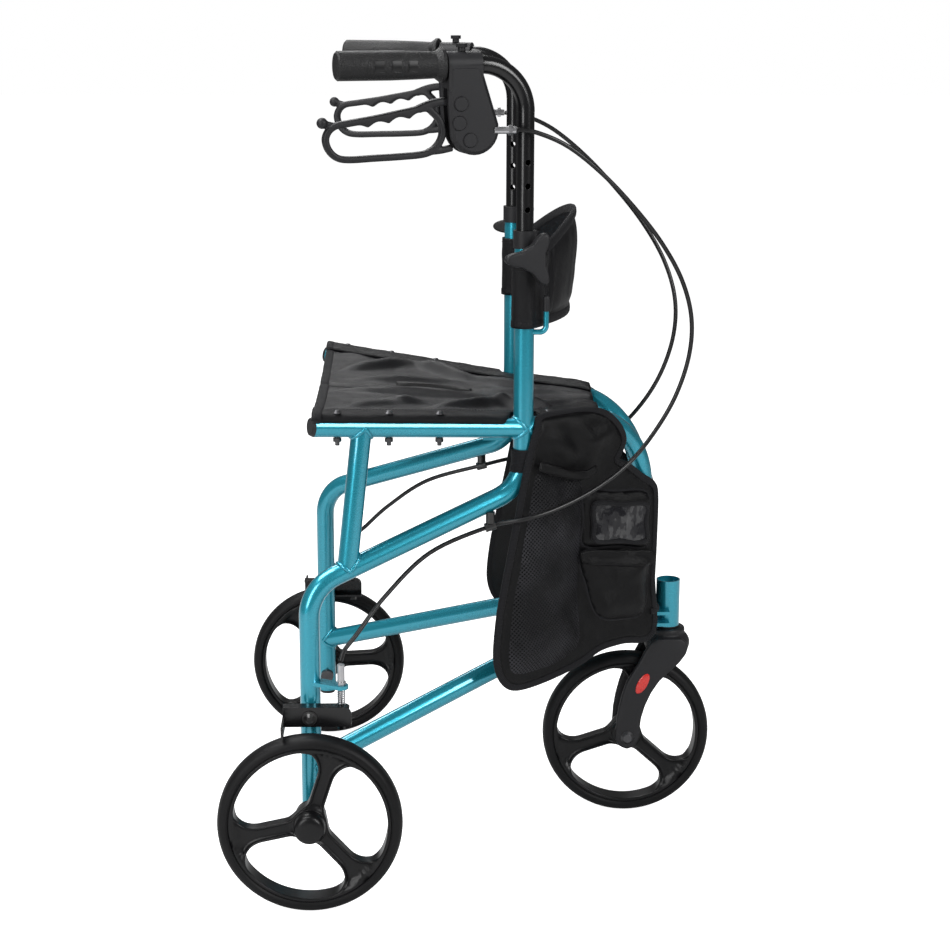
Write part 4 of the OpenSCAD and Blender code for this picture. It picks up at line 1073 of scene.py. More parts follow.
STEM = Vector(JOINTS["swivel"]["pos_m"])
FRONT_AXLE = Vector(JOINTS["front_roll"]["pos_m"])
BLADE_Y = 0.0225
BLADE_T = 0.0100
BLADE_END_R = 0.0145
BLADE_SIDES = 24
BLADE_SQUARENESS = 0.5
# Angles from the lowest point of a blade's round end at which it is measured
BLADE_END_ANGLES = (8, 25, 45, 65, 90)
FORK_VOXEL = 0.0013
FORK_EASE = 5
# Height, middle and width of a blade
BLADE = [
    (0.1060, 0.1845, 0.0290), (0.1228, 0.1858, 0.0296), (0.1390, 0.1893, 0.0316),
    (0.1554, 0.1949, 0.0348), (0.1700, 0.2020, 0.0395), (0.1820, 0.2115, 0.0450),
    (0.1930, 0.2205, 0.0495), (0.2030, 0.2265, 0.0515), (0.2110, 0.2300, 0.0500),
    (0.2180, 0.2315, 0.0430), (0.2230, 0.2320, 0.0300),
]
# Radius of the crown and depth under its top
CROWN = [
    (0.0003, 0.0), (0.0198, 0.0), (0.0210, 0.0010), (0.0210, 0.0052), (0.0200, 0.0066), (0.0222, 0.0085),
    (0.0252, 0.0120), (0.0270, 0.0165), (0.0272, 0.0210), (0.0262, 0.0255), (0.0230, 0.0290),
    (0.0170, 0.0310), (0.0003, 0.0316),
]
REFLECTOR_PLACE = Vector((0.2010, 0, 0.1680))
REFLECTOR_SLOPE = math.radians(62)
REFLECTOR_L = 0.0275
REFLECTOR_W = 0.0118
# Share of the reflector's outline and how far it stands out of the blade
REFLECTOR_STEPS = [
    (0.02, -0.0015), (1.0, -0.0015), (1.0, 0.0003), (0.94, 0.0008), (0.75, 0.0011), (0.02, 0.0013),
]
REFLECTOR_SIDES = 32


def blade_rings(side):
    """Rings up a fork blade, from its round end at the axle into the crown."""
    profile = round_profile(1, 1, BLADE_SIDES, BLADE_SQUARENESS)
    rows = []
    for a in (math.radians(angle) for angle in BLADE_END_ANGLES):
        rows.append((FRONT_AXLE.z - BLADE_END_R * math.cos(a), FRONT_AXLE.x, BLADE_END_R * 2 * math.sin(a)))
    rings = []
    for z, x, width in rows + BLADE:
        rings.append([Vector((x + p[0] * width, side * (BLADE_Y + p[1] * BLADE_T), z)) for p in profile])
    return rings


def make_fork():
    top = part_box("fork")[1][2]
    crown = turned([(r, top - drop) for r, drop in CROWN], Vector((STEM.x, STEM.y, 0)))
    blades = [skin(blade_rings(side)) for side in (-1, 1)]
    fork = melted("caster_fork", [*blades, crown], FORK_VOXEL, FORK_EASE)
    fit(fork, "caster", "fork")


def make_reflectors():
    along = Vector((math.cos(REFLECTOR_SLOPE), 0, math.sin(REFLECTOR_SLOPE)))
    across = Vector((-along.z, 0, along.x))
    oval = round_profile(REFLECTOR_L, REFLECTOR_W, REFLECTOR_SIDES)
    shells = []
    for side in (-1, 1):
        face = REFLECTOR_PLACE + Vector((0, side * (BLADE_Y + BLADE_T / 2), 0))
        rings = []
        for share, out in REFLECTOR_STEPS:
            stand = Vector((0, side * out, 0))
            rings.append([face + along * (share * p[0]) + across * (share * p[1]) + stand for p in oval])
        shells.append(skin(rings))
    red = piece("oval_reflectors", *gathered(shells), "reflector_red")
    fit(red, "caster", "fork_reflectors")


# Height knobs: three hollow-sided wings on a hub

KNOB_R = 0.0315
KNOB_WAIST = 0.0142
KNOB_HUB_R = 0.0090
KNOB_SIDES = 90
KNOB_WING_COUNT = 3
KNOB_POINTEDNESS = 6
KNOB_VOXEL = 0.0010
KNOB_EASE = 4
# Distance from the upright's middle along the knob's axis and size there, of the wings and of the hub
KNOB_WINGS = [(0.0198, 0.90), (0.0208, 0.97), (0.0225, 1.0), (0.0300, 1.0), (0.0315, 0.97), (0.0322, 0.90)]
KNOB_HUB = [(0.0172, 1.0), (0.0240, 1.0)]


def handle_axes(side):
    """Outward and backward directions of the upright plane of a handle."""
    out = Vector(JOINTS[f"{side}_knob_turn"]["axis"])
    return out, Vector((-abs(out.y), -out.x * math.copysign(1, -out.y), 0))


def knob_radius(turn):
    """Distance of a knob's edge from its axis: far out at each wing and near between them."""
    lobe = math.cos(KNOB_WING_COUNT / 2 * turn) ** KNOB_POINTEDNESS
    return KNOB_WAIST + (KNOB_R - KNOB_WAIST) * lobe


def knob_skin(side, radii, rows):
    """A closed skin round a knob's axis; each row is a distance along it and the size there."""
    out, back = handle_axes(side)
    middle = Vector(JOINTS[f"{side}_knob_turn"]["pos_m"])
    rings = []
    for w, share in rows:
        rings.append([middle + out * w + (back * math.cos(t) + UP * math.sin(t)) * (r * share)
                      for r, t in zip(radii, turns(KNOB_SIDES))])
    return skin(rings)


def make_knobs():
    wings = [knob_radius(t) for t in turns(KNOB_SIDES)]
    hub = [KNOB_HUB_R] * KNOB_SIDES
    for side in SIDES:
        shells = [knob_skin(side, wings, KNOB_WINGS), knob_skin(side, hub, KNOB_HUB)]
        made = melted(f"{side}_wing_knob", shells, KNOB_VOXEL, KNOB_EASE)
        fit(made, f"{side}_knob_body", f"{side}_knob")


# Loop levers, drawn in the upright plane of the handle: distance behind the upright and height

LEVER_T = 0.0112
LEVER_BAR = 0.0074
LEVER_SIDES = 18
LEVER_SQUARENESS = 0.6
LEVER_VOXEL = 0.0010
LEVER_EASE = 3
# Steps of its curves between two points, distance between the loop's rings
LEVER_LOOP_STEPS = 8
LEVER_ARM_STEPS = 6
LEVER_RING_GAP = 0.0012
LEVER_LOOP = [
    (0.1124, 0.8523), (0.1373, 0.8481), (0.1664, 0.8426), (0.1952, 0.8381), (0.2096, 0.8357),
    (0.2175, 0.8300), (0.2205, 0.8212), (0.2171, 0.8107), (0.2086, 0.8029), (0.1957, 0.8005),
    (0.1667, 0.8015), (0.1376, 0.8026), (0.1141, 0.8045), (0.1030, 0.8095), (0.0956, 0.8185),
    (0.0934, 0.8289), (0.0966, 0.8395), (0.1036, 0.8473),
]
LEVER_MIDDLE = Vector((0.155, 0.826))
LEVER_ARM = [(0.1200, 0.8515), (0.1050, 0.8570), (0.0900, 0.8590), (0.0770, 0.8570)]
LEVER_HEEL = [(0.1090, 0.8070), (0.0960, 0.8080), (0.0830, 0.8105)]
LEVER_NECK = [(0.2090, 0.8358), (0.2160, 0.8375), (0.2238, 0.8388)]
# Width of the arm in bars, thickness and lean of the neck under the ball
LEVER_ARM_SHARE = 1.2
LEVER_NECK_R = 0.0032
LEVER_NECK_LEAN = 0.2
LEVER_BALL_R = 0.0060
LEVER_BALL_RINGS = 12
LEVER_ROUND_SIDES = 24
LEVER_PIVOT_R = 0.0085
TOOTH_FIRST = 0.1315
TOOTH_PITCH = 0.0222
TOOTH_COUNT = 3
TOOTH_H = 0.0042


def tooth_height(s, z):
    """How far the upper bar stands down into the loop between its finger hollows."""
    turn = (s - TOOTH_FIRST) / TOOTH_PITCH
    if z < LEVER_MIDDLE.y or not -0.5 < turn < TOOTH_COUNT - 0.5:
        return 0.0
    return TOOTH_H * (1 - abs(math.sin(math.pi * turn)))


def lever_place(side):
    """Lays a place of a lever's plane in space; w is its distance out of the plane."""
    out, back = handle_axes(side)
    foot = Vector((UPRIGHT.x, UPRIGHT.y * SIDES[side], 0))

    def at(p, w=0.0):
        return foot + back * p[0] + UP * p[1] + out * w
    return at


def lever_bar(path, width, at, closed=False, teeth=False):
    """A flat bar along a path in a lever's plane, with teeth on its inner edge where asked."""
    profile = round_profile(width, LEVER_T, LEVER_SIDES, LEVER_SQUARENESS)
    last = len(path) - 1
    rings = []
    for i, p in enumerate(path):
        if closed:
            ahead, behind = path[(i + 1) % len(path)], path[i - 1]
        else:
            ahead, behind = path[min(i + 1, last)], path[max(i - 1, 0)]
        along = (ahead - behind).normalized()
        inward = Vector((-along.y, along.x))
        if inward.dot(LEVER_MIDDLE - p) < 0:
            inward = -inward
        grow = tooth_height(*p) if teeth else 0.0
        rings.append([at(p + inward * (u + (grow if u > 0 else 0)), w) for u, w in profile])
    return skin(rings, closed)


def make_levers():
    loop = curve([Vector(p) for p in LEVER_LOOP], LEVER_LOOP_STEPS, True)
    loop = spaced(loop, LEVER_RING_GAP, True)
    rounds = turns(LEVER_ROUND_SIDES)
    poles = [math.pi * k / LEVER_BALL_RINGS for k in range(1, LEVER_BALL_RINGS)]
    for side in SIDES:
        out, back = handle_axes(side)
        at = lever_place(side)
        neck = []
        for p in LEVER_NECK:
            neck.append([at(p) + (back * LEVER_NECK_LEAN + UP * math.cos(t)) * LEVER_NECK_R
                         + out * (LEVER_NECK_R * math.sin(t)) for t in rounds])
        ball = []
        for a in poles:
            middle = at(LEVER_NECK[-1]) + back * (LEVER_BALL_R * math.cos(a))
            ball.append([middle + (UP * math.cos(t) + out * math.sin(t)) * (LEVER_BALL_R * math.sin(a))
                         for t in rounds])
        pivot = []
        for w in (-LEVER_T / 2, LEVER_T / 2):
            middle = at(LEVER_ARM[-1])
            pivot.append([middle + (back * math.cos(t) + UP * math.sin(t)) * LEVER_PIVOT_R + out * w
                          for t in rounds])
        shells = [
            lever_bar(loop, LEVER_BAR, at, True, True),
            lever_bar(curve(LEVER_ARM, LEVER_ARM_STEPS), LEVER_BAR * LEVER_ARM_SHARE, at),
            lever_bar(curve(LEVER_HEEL, LEVER_ARM_STEPS), LEVER_BAR, at),
            skin(neck), skin(ball), skin(pivot),
        ]
        made = melted(f"{side}_loop_lever", shells, LEVER_VOXEL, LEVER_EASE)
        fit(made, f"{side}_lever_body", f"{side}_lever")


# Weld beads where the frame tubes meet

BEAD_R = 0.0021
BEAD_PITCH = 0.0024
BEAD_POINTS = 110
BEAD_SWELL = 0.16
STRUT_TOP = RAIL_FRONT.lerp(RAIL_REAR, 0.776)
STRUT_LOW = CORNER_HIGH.lerp(CORNER_LOW, 0.826)
LOWER_REAR = Vector((CORNER_LOW.x, CORNER_LOW.y, 0.146))
LOWER_FRONT = Vector((HINGE.x, HINGE.y, 0.281))
# Name, a point and the direction of the tube that ends, the direction of the tube it ends on
WELDS = [
    ("rail", RAIL_FRONT, RAIL_REAR - RAIL_FRONT, UP),
    ("front_tube", RAIL_FRONT, -RUN, UP),
    ("strut_top", STRUT_TOP, STRUT_LOW - STRUT_TOP, RAIL_REAR - RAIL_FRONT),
    ("strut_low", STRUT_LOW, STRUT_TOP - STRUT_LOW, CORNER_HIGH - CORNER_LOW),
    ("lower_tube", LOWER_REAR, LOWER_FRONT - LOWER_REAR, UP),
]


def weld_path(point, ending, crossed):
    """The line round the end of a tube on the skin of the tube that it meets at a point."""
    d, m = ending.normalized(), crossed.normalized()
    u = d.orthogonal().normalized()
    v = d.cross(u)
    across = d - m * d.dot(m)
    path = []
    for t in turns(BEAD_POINTS):
        q = (u * math.cos(t) + v * math.sin(t)) * TUBE_R
        q -= m * q.dot(m)
        b = q.dot(across)
        c = q.length_squared - TUBE_R ** 2
        s = (-b + math.sqrt(max(0.0, b * b - across.length_squared * c))) / across.length_squared
        path.append(point + (u * math.cos(t) + v * math.sin(t)) * TUBE_R + d * s)
    return path


def make_welds():
    for side in SIDES:
        for name, point, ending, crossed in WELDS:
            path = [on_side(p, side) for p in weld_path(point, ending, crossed)]
            smooth = rings_along(path, round_profile(BEAD_R * 2, BEAD_R * 2), closed=True)
            rings = []
            for i, ring in enumerate(smooth):
                along = i / len(path) * round(length_of(path) / BEAD_PITCH)
                swell = 1 + BEAD_SWELL * abs(math.sin(math.pi * along))
                rings.append([path[i] + (p - path[i]) * swell for p in ring])
            bead = loft(f"{side}_{name}_weld", rings, "frame_teal", closed=True)
            fit(bead, f"{side}_frame")


# Seat: a sling in two halves, with a hem band screwed to each rail

SEAT_REAR_X = -0.173
SEAT_FRONT_X = 0.139
HEM_RISE = 0.0038
SEAT_LIFT = TUBE_R + HEM_RISE
HEM_IN = 0.032
HEM_OUT = 0.015
HEM_OUT_FRONT = 0.008
HEM_THICK = 0.0024
HEM_SPACING = 0.0035
HEM_BINDING = (0.011, 0.0058)
HEM_PUFF = 0.0006
HEM_WAVES = (60, 60)
# Strip at a hem's inner edge that turns down to the sling, and how far it turns
HEM_TURN = 0.016
HEM_TURN_DROP = 0.0028
TUCK = 0.022
PANEL_DROP = 0.0022
PANEL_THICK = 0.0014
PANEL_SPACING = 0.0042
PANEL_BINDING = (0.011, 0.0042)
# Strip beside a hem in which the sling's ridges fade, and its fine ripples
PANEL_CALM = 0.012
PANEL_PUFF = 0.0012
PANEL_WAVES = (30, 45)
# Groove along the middle seam
SEAM_DIP = 0.004
SEAM_DIP_HALF = 0.006
SEAM_INSET = 0.005
SEAM_END = 0.004
SLOT_SEAM_GAP = 0.003
# Distance of the sling's outer seam from the hem
SIDE_SEAM_GAP = 0.004
# Distances of a hem's two stitch rows from its edge
HEM_SEAM = 0.003
HEM_SECOND_SEAM = 0.008
SLOT_REAR_X = -0.070
SLOT_FRONT_X = -0.022
SLOT_HALF = 0.006
SEAM_HALF = 0.0006
NOTCH_HALF = 0.0165
NOTCH_EASE = 0.0008
NOTCH_GAP = 0.003

# Soft ridges of the sling's halves: ends in plan, towards the rail as negative y, height and half width
RIDGES = {
    "right": [
        ((-0.165, -0.028), (0.060, -0.016), 0.0097, 0.0072),
        ((-0.060, -0.125), (0.060, -0.012), 0.0111, 0.0088),
        ((0.010, -0.030), (0.105, -0.080), 0.0091, 0.0080),
        ((-0.160, -0.160), (-0.060, -0.070), 0.0078, 0.0096),
        ((-0.140, -0.090), (-0.030, -0.080), 0.0059, 0.0072),
        ((-0.100, -0.165), (0.010, -0.100), 0.0059, 0.0080),
        ((0.050, -0.070), (0.125, -0.018), 0.0059, 0.0072),
    ],
    "left": [
        ((-0.160, -0.070), (-0.060, -0.150), 0.0117, 0.0104),
        ((-0.070, -0.150), (0.000, -0.070), 0.0117, 0.0096),
        ((-0.160, -0.176), (-0.050, -0.166), 0.0065, 0.0088),
        ((-0.150, -0.030), (-0.010, -0.060), 0.0078, 0.0080),
        ((-0.020, -0.090), (0.090, -0.040), 0.0091, 0.0088),
        ((0.000, -0.030), (0.120, -0.020), 0.0065, 0.0072),
    ],
}


def seat_axis(x):
    """Height of the axis of the tubes under the seat."""
    bend_start = HINGE.x - FRONT_BEND * (HINGE.x - UPRIGHT.x) / (UPRIGHT - HINGE).xy.length
    if x < UPRIGHT.x:
        share = (UPRIGHT.x - x) / (UPRIGHT.x - RAIL_REAR.x)
        return RAIL_FRONT.z + (RAIL_REAR.z - RAIL_FRONT.z) * share
    if x < bend_start:
        return RAIL_FRONT.z
    d = (x - bend_start) / (HINGE.x - bend_start) * FRONT_BEND
    return RAIL_FRONT.z - FRONT_BEND + math.sqrt(max(0.0, FRONT_BEND ** 2 - d * d))


def seat_half(x):
    """Half the distance between the tubes under the seat."""
    if x < UPRIGHT.x:
        share = (UPRIGHT.x - x) / (UPRIGHT.x - RAIL_REAR.x)
        return -UPRIGHT.y + (UPRIGHT.y - RAIL_REAR.y) * share
    share = (x - UPRIGHT.x) / (HINGE.x - UPRIGHT.x)
    return -UPRIGHT.y + (UPRIGHT.y - HINGE.y) * share


def ridge_height(x, y, ridges):
    """Height of soft ridges, each fading to its ends."""
    total = 0.0
    for a, b, height, half in ridges:
        run = Vector(b) - Vector(a)
        share = max(0.0, min(1.0, (Vector((x, y)) - Vector(a)).dot(run) / run.length_squared))
        away = (Vector((x, y)) - (Vector(a) + run * share)).length
        fade = math.sin(math.pi * min(1.0, max(0.02, share * 0.96 + 0.02)))
        total += height * fade * math.exp(-(away / half) ** 2)
    return total


def seat_place(side):
    """Lays the sling of one half; y is negative towards the right-hand rail."""
    sign = SIDES[side]
    ridges = RIDGES[side]
    sag = bpy.context.scene.rollator.sag

    def place(x, y):
        half = seat_half(x)
        out = min(1.0, -y / half)
        low = (1 - out * out) * sag * half / -RAIL_REAR.y
        edge = max(0.0, 1 - max(0.0, (half - TUCK + y)) / PANEL_CALM)
        calm = 1 - edge
        z = seat_axis(x) + SEAT_LIFT - PANEL_DROP - low
        z += calm * ridge_height(x, y, ridges)
        z += calm * PANEL_PUFF * ripple(x, y * sign, PANEL_WAVES, 3.1)
        z -= SEAM_DIP * math.exp(-(y / SEAM_DIP_HALF) ** 2)
        return Vector((x, y * sign, z))
    return place


def hem_place(side):
    """Lays a hem over its rail and down past it."""
    sign = SIDES[side]

    def place(x, y):
        past = max(0.0, -y - seat_half(x))
        puff = HEM_PUFF * ripple(x, y, HEM_WAVES, 7.7 * sign)
        inner = max(0.0, 1 - (-y - seat_half(x) + HEM_IN) / HEM_TURN)
        turn = past / SEAT_LIFT
        y += past - SEAT_LIFT * math.sin(turn)
        z = seat_axis(x) + SEAT_LIFT * math.cos(turn) + puff - inner * inner * HEM_TURN_DROP
        return Vector((x, y * sign, z))
    return place


def seat_outline():
    """Flat outline of one half of the sling, with half of the slot at its middle edge."""
    middle = []
    for x in np.linspace(SEAT_REAR_X, SEAT_FRONT_X, 60):
        share = (x - SLOT_REAR_X) / (SLOT_FRONT_X - SLOT_REAR_X)
        gap = SLOT_HALF * math.sin(math.pi * share) if 0 < share < 1 else 0.0
        middle.append((x, -SEAM_HALF - gap))
    outer = [(x, -(seat_half(x) - TUCK)) for x in np.linspace(SEAT_FRONT_X, SEAT_REAR_X, 40)]
    return middle + outer


def hem_outline():
    """Flat outline of a hem band, notched round the upright."""
    outer = []
    for x in np.linspace(SEAT_REAR_X, SEAT_FRONT_X, 90):
        away = abs(x - UPRIGHT.x)
        near = 1 / (1 + math.exp((away - NOTCH_HALF) / NOTCH_EASE))
        wide = HEM_OUT if x < UPRIGHT.x else HEM_OUT_FRONT
        reach = wide * (1 - near) - (TUBE_R + NOTCH_GAP) * near
        outer.append((x, -(seat_half(x) + reach)))
    inner = [(x, -(seat_half(x) - HEM_IN)) for x in np.linspace(SEAT_FRONT_X, SEAT_REAR_X, 40)]
    return outer + inner


def flat_area(edge):
    """Area of a flat outline."""
    return abs(sum(a[0] * b[1] - b[0] * a[1] for a, b in zip(edge, edge[1:] + edge[:1]))) / 2


def make_seat():
    panel_edge = seat_outline()
    hem_edge = hem_outline()
    for side in SIDES:
        place = seat_place(side)
        panel = cut_cloth(f"seat_{side}_half", sided(panel_edge, side), PANEL_SPACING, place, "seat_cloth",
                          PANEL_THICK)
        rear = [(SEAT_REAR_X, -SEAM_HALF), (SEAT_REAR_X, -(seat_half(SEAT_REAR_X) - TUCK))]
        binding = tape(f"seat_{side}_rear_binding", rear, place, *PANEL_BINDING, closed=False)
        seam = [(x, -SEAM_INSET) for x in (SEAT_REAR_X + SEAM_END, SLOT_REAR_X - SLOT_SEAM_GAP)]
        front_seam = [(x, -SEAM_INSET) for x in (SLOT_FRONT_X + SLOT_SEAM_GAP, SEAT_FRONT_X - SEAM_END)]
        along = np.linspace(SEAT_REAR_X, SEAT_FRONT_X, 30)
        edge_seam = [(x, -(seat_half(x) - HEM_IN - SIDE_SEAM_GAP)) for x in along]
        lines = [sewn_line(s, place) for s in (seam, front_seam, edge_seam)]
        rows = stitches(f"seat_{side}_stitching", lines)
        end = on_side((0, -(seat_half(SEAT_REAR_X) - TUCK), RAIL_REAR.z), side)
        for made in (panel, binding, rows):
            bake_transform(made)
        wide = seat_half(SEAT_REAR_X) - TUCK
        flat_area(panel_edge)
        make_hem(side, hem_edge)
        make_rivet(side)
    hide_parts("seat_sling")
    # A dark sheet under the seat's slot, as painted shade
    make_slot_shade_sheet()


def make_hem(side, edge):
    place = hem_place(side)
    band = cut_cloth(f"seat_{side}_hem", sided(edge, side), HEM_SPACING, place, "hem_cloth", HEM_THICK)
    along = np.linspace(SEAT_REAR_X + HEM_SEAM, SEAT_FRONT_X - HEM_SEAM, 40)
    lines = []
    for reach in (-HEM_IN + HEM_SEAM, -HEM_IN + HEM_SECOND_SEAM):
        lines.append(sewn_line([(x, -(seat_half(x) + reach)) for x in along], place))
    rows = stitches(f"seat_{side}_hem_stitching", lines)
    end = [(SEAT_REAR_X, -(seat_half(SEAT_REAR_X) + reach)) for reach in (-HEM_IN, HEM_OUT)]
    cap = tape(f"seat_{side}_hem_binding", end, place, *HEM_BINDING, closed=False)
    for made in (band, rows, cap):
        fit(made, f"{side}_frame")
    flat_area(edge)


# Sizes of the dark sheet under the slot, which is painted shade seen through the slot
SHADE_SHEET_MARGIN = 0.020
SHADE_SHEET_HALF = 0.045
SHADE_SHEET_DROP = 0.0034
SHADE_SHEET_FLAT_HALF = 0.004
SHADE_SHEET_SPACING = 0.005
SHADE_SHEET_THICK = 0.001


def make_slot_shade_sheet():
    """A sheet of dark cloth under the slot in the middle of the seat, put there as painted shade so that the floor
    doesn't show white through the slot.
    """
    lay = seat_place("right")

    def place(x, y):
        p = lay(x, -max(abs(y), SHADE_SHEET_FLAT_HALF))
        return Vector((x, y, p.z - SHADE_SHEET_DROP))
    rear, front = SLOT_REAR_X - SHADE_SHEET_MARGIN, SLOT_FRONT_X + SHADE_SHEET_MARGIN
    edge = [(rear, -SHADE_SHEET_HALF), (front, -SHADE_SHEET_HALF), (front, SHADE_SHEET_HALF), (rear, SHADE_SHEET_HALF)]
    shade_sheet = cut_cloth("seat_slot_backing", edge, SHADE_SHEET_SPACING, place, "bag_cloth", SHADE_SHEET_THICK)
    fit(shade_sheet, "head")
    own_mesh(shade_sheet)
    flat_area(edge)


RIVET_X = 0.080
RIVET_SIDES = 24
RIVET_SHAPE = [(0.0046, -0.0006), (0.0046, 0.0006), (0.0036, 0.0015), (0.0018, 0.0020), (0.0004, 0.0021)]


def make_rivet(side):
    """Front rivet of a hem, ahead of the upright."""
    seat = on_side((RIVET_X, -seat_half(RIVET_X), seat_axis(RIVET_X) + SEAT_LIFT), side)
    rings = []
    for r, rise in RIVET_SHAPE:
        rings.append([seat + Vector((r * math.cos(t), r * math.sin(t), rise)) for t in turns(RIVET_SIDES)])
    rivet = loft(f"seat_{side}_rivet", rings, "dark_steel")
    fit(rivet, f"{side}_frame")


# Backrest: a padded band bowed forward between two sleeves

BAND_BOW = 0.056
BAND_LOW = 0.619
BAND_H = 0.110
SLEEVE_LOW = 0.614
SLEEVE_H = 0.068
BAND_T = 0.012
BAND_HEM_T = 0.0034
BAND_STEPS = 44
BAND_RING = 44
BAND_BORDER = 0.80
BAND_INSET = 0.002
BAND_BINDING = (0.011, 0.0062)
BAND_FOLD = 0.0016
BAND_WAVES = (9, 1.3)
# Gathers beside a sleeve: height, place and half width along the band
GATHER = 0.0022
GATHER_AT_SHARE = 0.86
GATHER_HALF_SHARE = 0.10
BAND_LEAN = 0.006
# How its lower and upper edges and its padding fall off
BAND_LOW_POWER = 3
BAND_TOP_POWER = 2.2
PAD_POWER = 0.42
PAD_END_SHARE = 0.3
# Place in the sleeve, in tube radii, at which the band ends
BAND_MEETS_SHARE = 0.6
# Stitch rows outside the padding, and how far they run
BAND_SEAM_SHARE = 0.02
BAND_SEAM_END_SHARE = 0.97
BAND_SEAM_STEPS = 80
BAND_BINDING_STEPS = 60
# Distance of a point at the band's end from the upright's axis
BAND_END = 0.012


def band_arc():
    """Radius of the band's bow and the angle at which it meets a sleeve."""
    r = (UPRIGHT.y ** 2 + BAND_BOW ** 2) / (2 * BAND_BOW)
    return r, math.asin((-UPRIGHT.y - TUBE_R * BAND_MEETS_SHARE) / r)


def band_point(u, h, front, side):
    """A point of the band: u from the middle to the sleeve, h from bottom to top edge."""
    r, reach = band_arc()
    swell = 1 - u ** BAND_LOW_POWER
    low = SLEEVE_LOW + BAND_INSET + (BAND_LOW - SLEEVE_LOW - BAND_INSET) * swell
    high = SLEEVE_LOW + SLEEVE_H - BAND_INSET
    high += (BAND_LOW + BAND_H - high) * (1 - u ** BAND_TOP_POWER)
    z = (low + high) / 2 + (high - low) / 2 * h
    pad = max(0.0, 1 - (abs(h) / BAND_BORDER) ** 2) ** PAD_POWER
    pad *= PAD_END_SHARE + (1 - PAD_END_SHARE) * swell
    thick = BAND_HEM_T + (BAND_T - BAND_HEM_T) * pad
    angle = -reach * u
    fold = BAND_FOLD * pad * ripple(u, h, BAND_WAVES, 2.0 if front else 9.0)
    near = math.exp(-((u - GATHER_AT_SHARE) / GATHER_HALF_SHARE) ** 2)
    fold += GATHER * near * math.sin(u * 70 + h * 2.0)
    out = r + (thick / 2 + fold) * (1 if front else -1)
    lean = BAND_LEAN * (h + 1) / 2 * swell
    x = UPRIGHT.x + BAND_BOW - r + out * math.cos(angle) + lean
    return on_side((x, out * math.sin(angle), z), side)


def band_heights():
    """Heights across the band from edge to edge, closer together at the sewn borders."""
    t = np.linspace(-1, 1, BAND_RING // 2)
    return np.sign(t) * np.abs(t) ** 0.8


def make_backrest():
    for side in SIDES:
        rings = []
        for i in range(BAND_STEPS + 1):
            u = i / BAND_STEPS
            heights = band_heights()
            ring = [band_point(u, h, True, side) for h in heights]
            ring += [band_point(u, h, False, side) for h in heights[::-1]]
            rings.append(sided(ring, side))
        half = loft(f"backrest_{side}_half", rings, "band_cloth", capped=False)
        close_ends(half, len(rings[0]), len(rings))
        edges = []
        for h in (-1.0, 1.0):
            path = [(band_point(u, h, True, side) + band_point(u, h, False, side)) / 2
                    for u in np.linspace(0, 1, BAND_BINDING_STEPS)]
            normals = [(band_point(u, h, True, side) - band_point(u, h, False, side)).normalized()
                       for u in np.linspace(0, 1, BAND_BINDING_STEPS)]
            rings = rings_along(path, round_profile(*BAND_BINDING, 12, 0.75), normals)
            edges.append(loft(f"backrest_{side}_{'top' if h > 0 else 'low'}_binding", rings, "binding_tape"))
        lines = []
        for h in (-BAND_BORDER - BAND_SEAM_SHARE, BAND_BORDER + BAND_SEAM_SHARE):
            for front in (True, False):
                line = []
                for u in np.linspace(0, BAND_SEAM_END_SHARE, BAND_SEAM_STEPS):
                    p = band_point(u, h, front, side)
                    normal = (p - band_point(u, h, not front, side)).normalized()
                    line.append((p, normal))
                lines.append(line)
        rows = stitches(f"backrest_{side}_stitching", lines)
        end = on_side((UPRIGHT.x, UPRIGHT.y + BAND_END, BAND_LOW), side)
        for made in (half, *edges, rows):
            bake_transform(made)
        make_sleeve(side)
    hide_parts("backrest_band")


def close_ends(made, ring, count):
    """Caps the two open ends of a loft with faces."""
    mesh = bmesh.new()
    mesh.from_mesh(made.data)
    mesh.verts.ensure_lookup_table()
    mesh.faces.new([mesh.verts[i] for i in reversed(range(ring))])
    mesh.faces.new([mesh.verts[i] for i in range((count - 1) * ring, count * ring)])
    mesh.to_mesh(made.data)
    mesh.free()


SLEEVE_GAP = 0.0006
SLEEVE_T = 0.0022
SLEEVE_TAIL = 0.013
SLEEVE_SIDES = 64
SLEEVE_RINGS = 26
SLEEVE_LOOSE = 0.0010
# Lower hem: its thickness, its share of the height, and the groove of its seam
SLEEVE_HEM = 0.0008
SLEEVE_HEM_SHARE = 0.1
SLEEVE_GROOVE = 0.0006
SLEEVE_GROOVE_SHARE = 0.012
# Stitch rows above the lower edge and below the upper one
SLEEVE_SEAMS = (0.0065, 0.005)


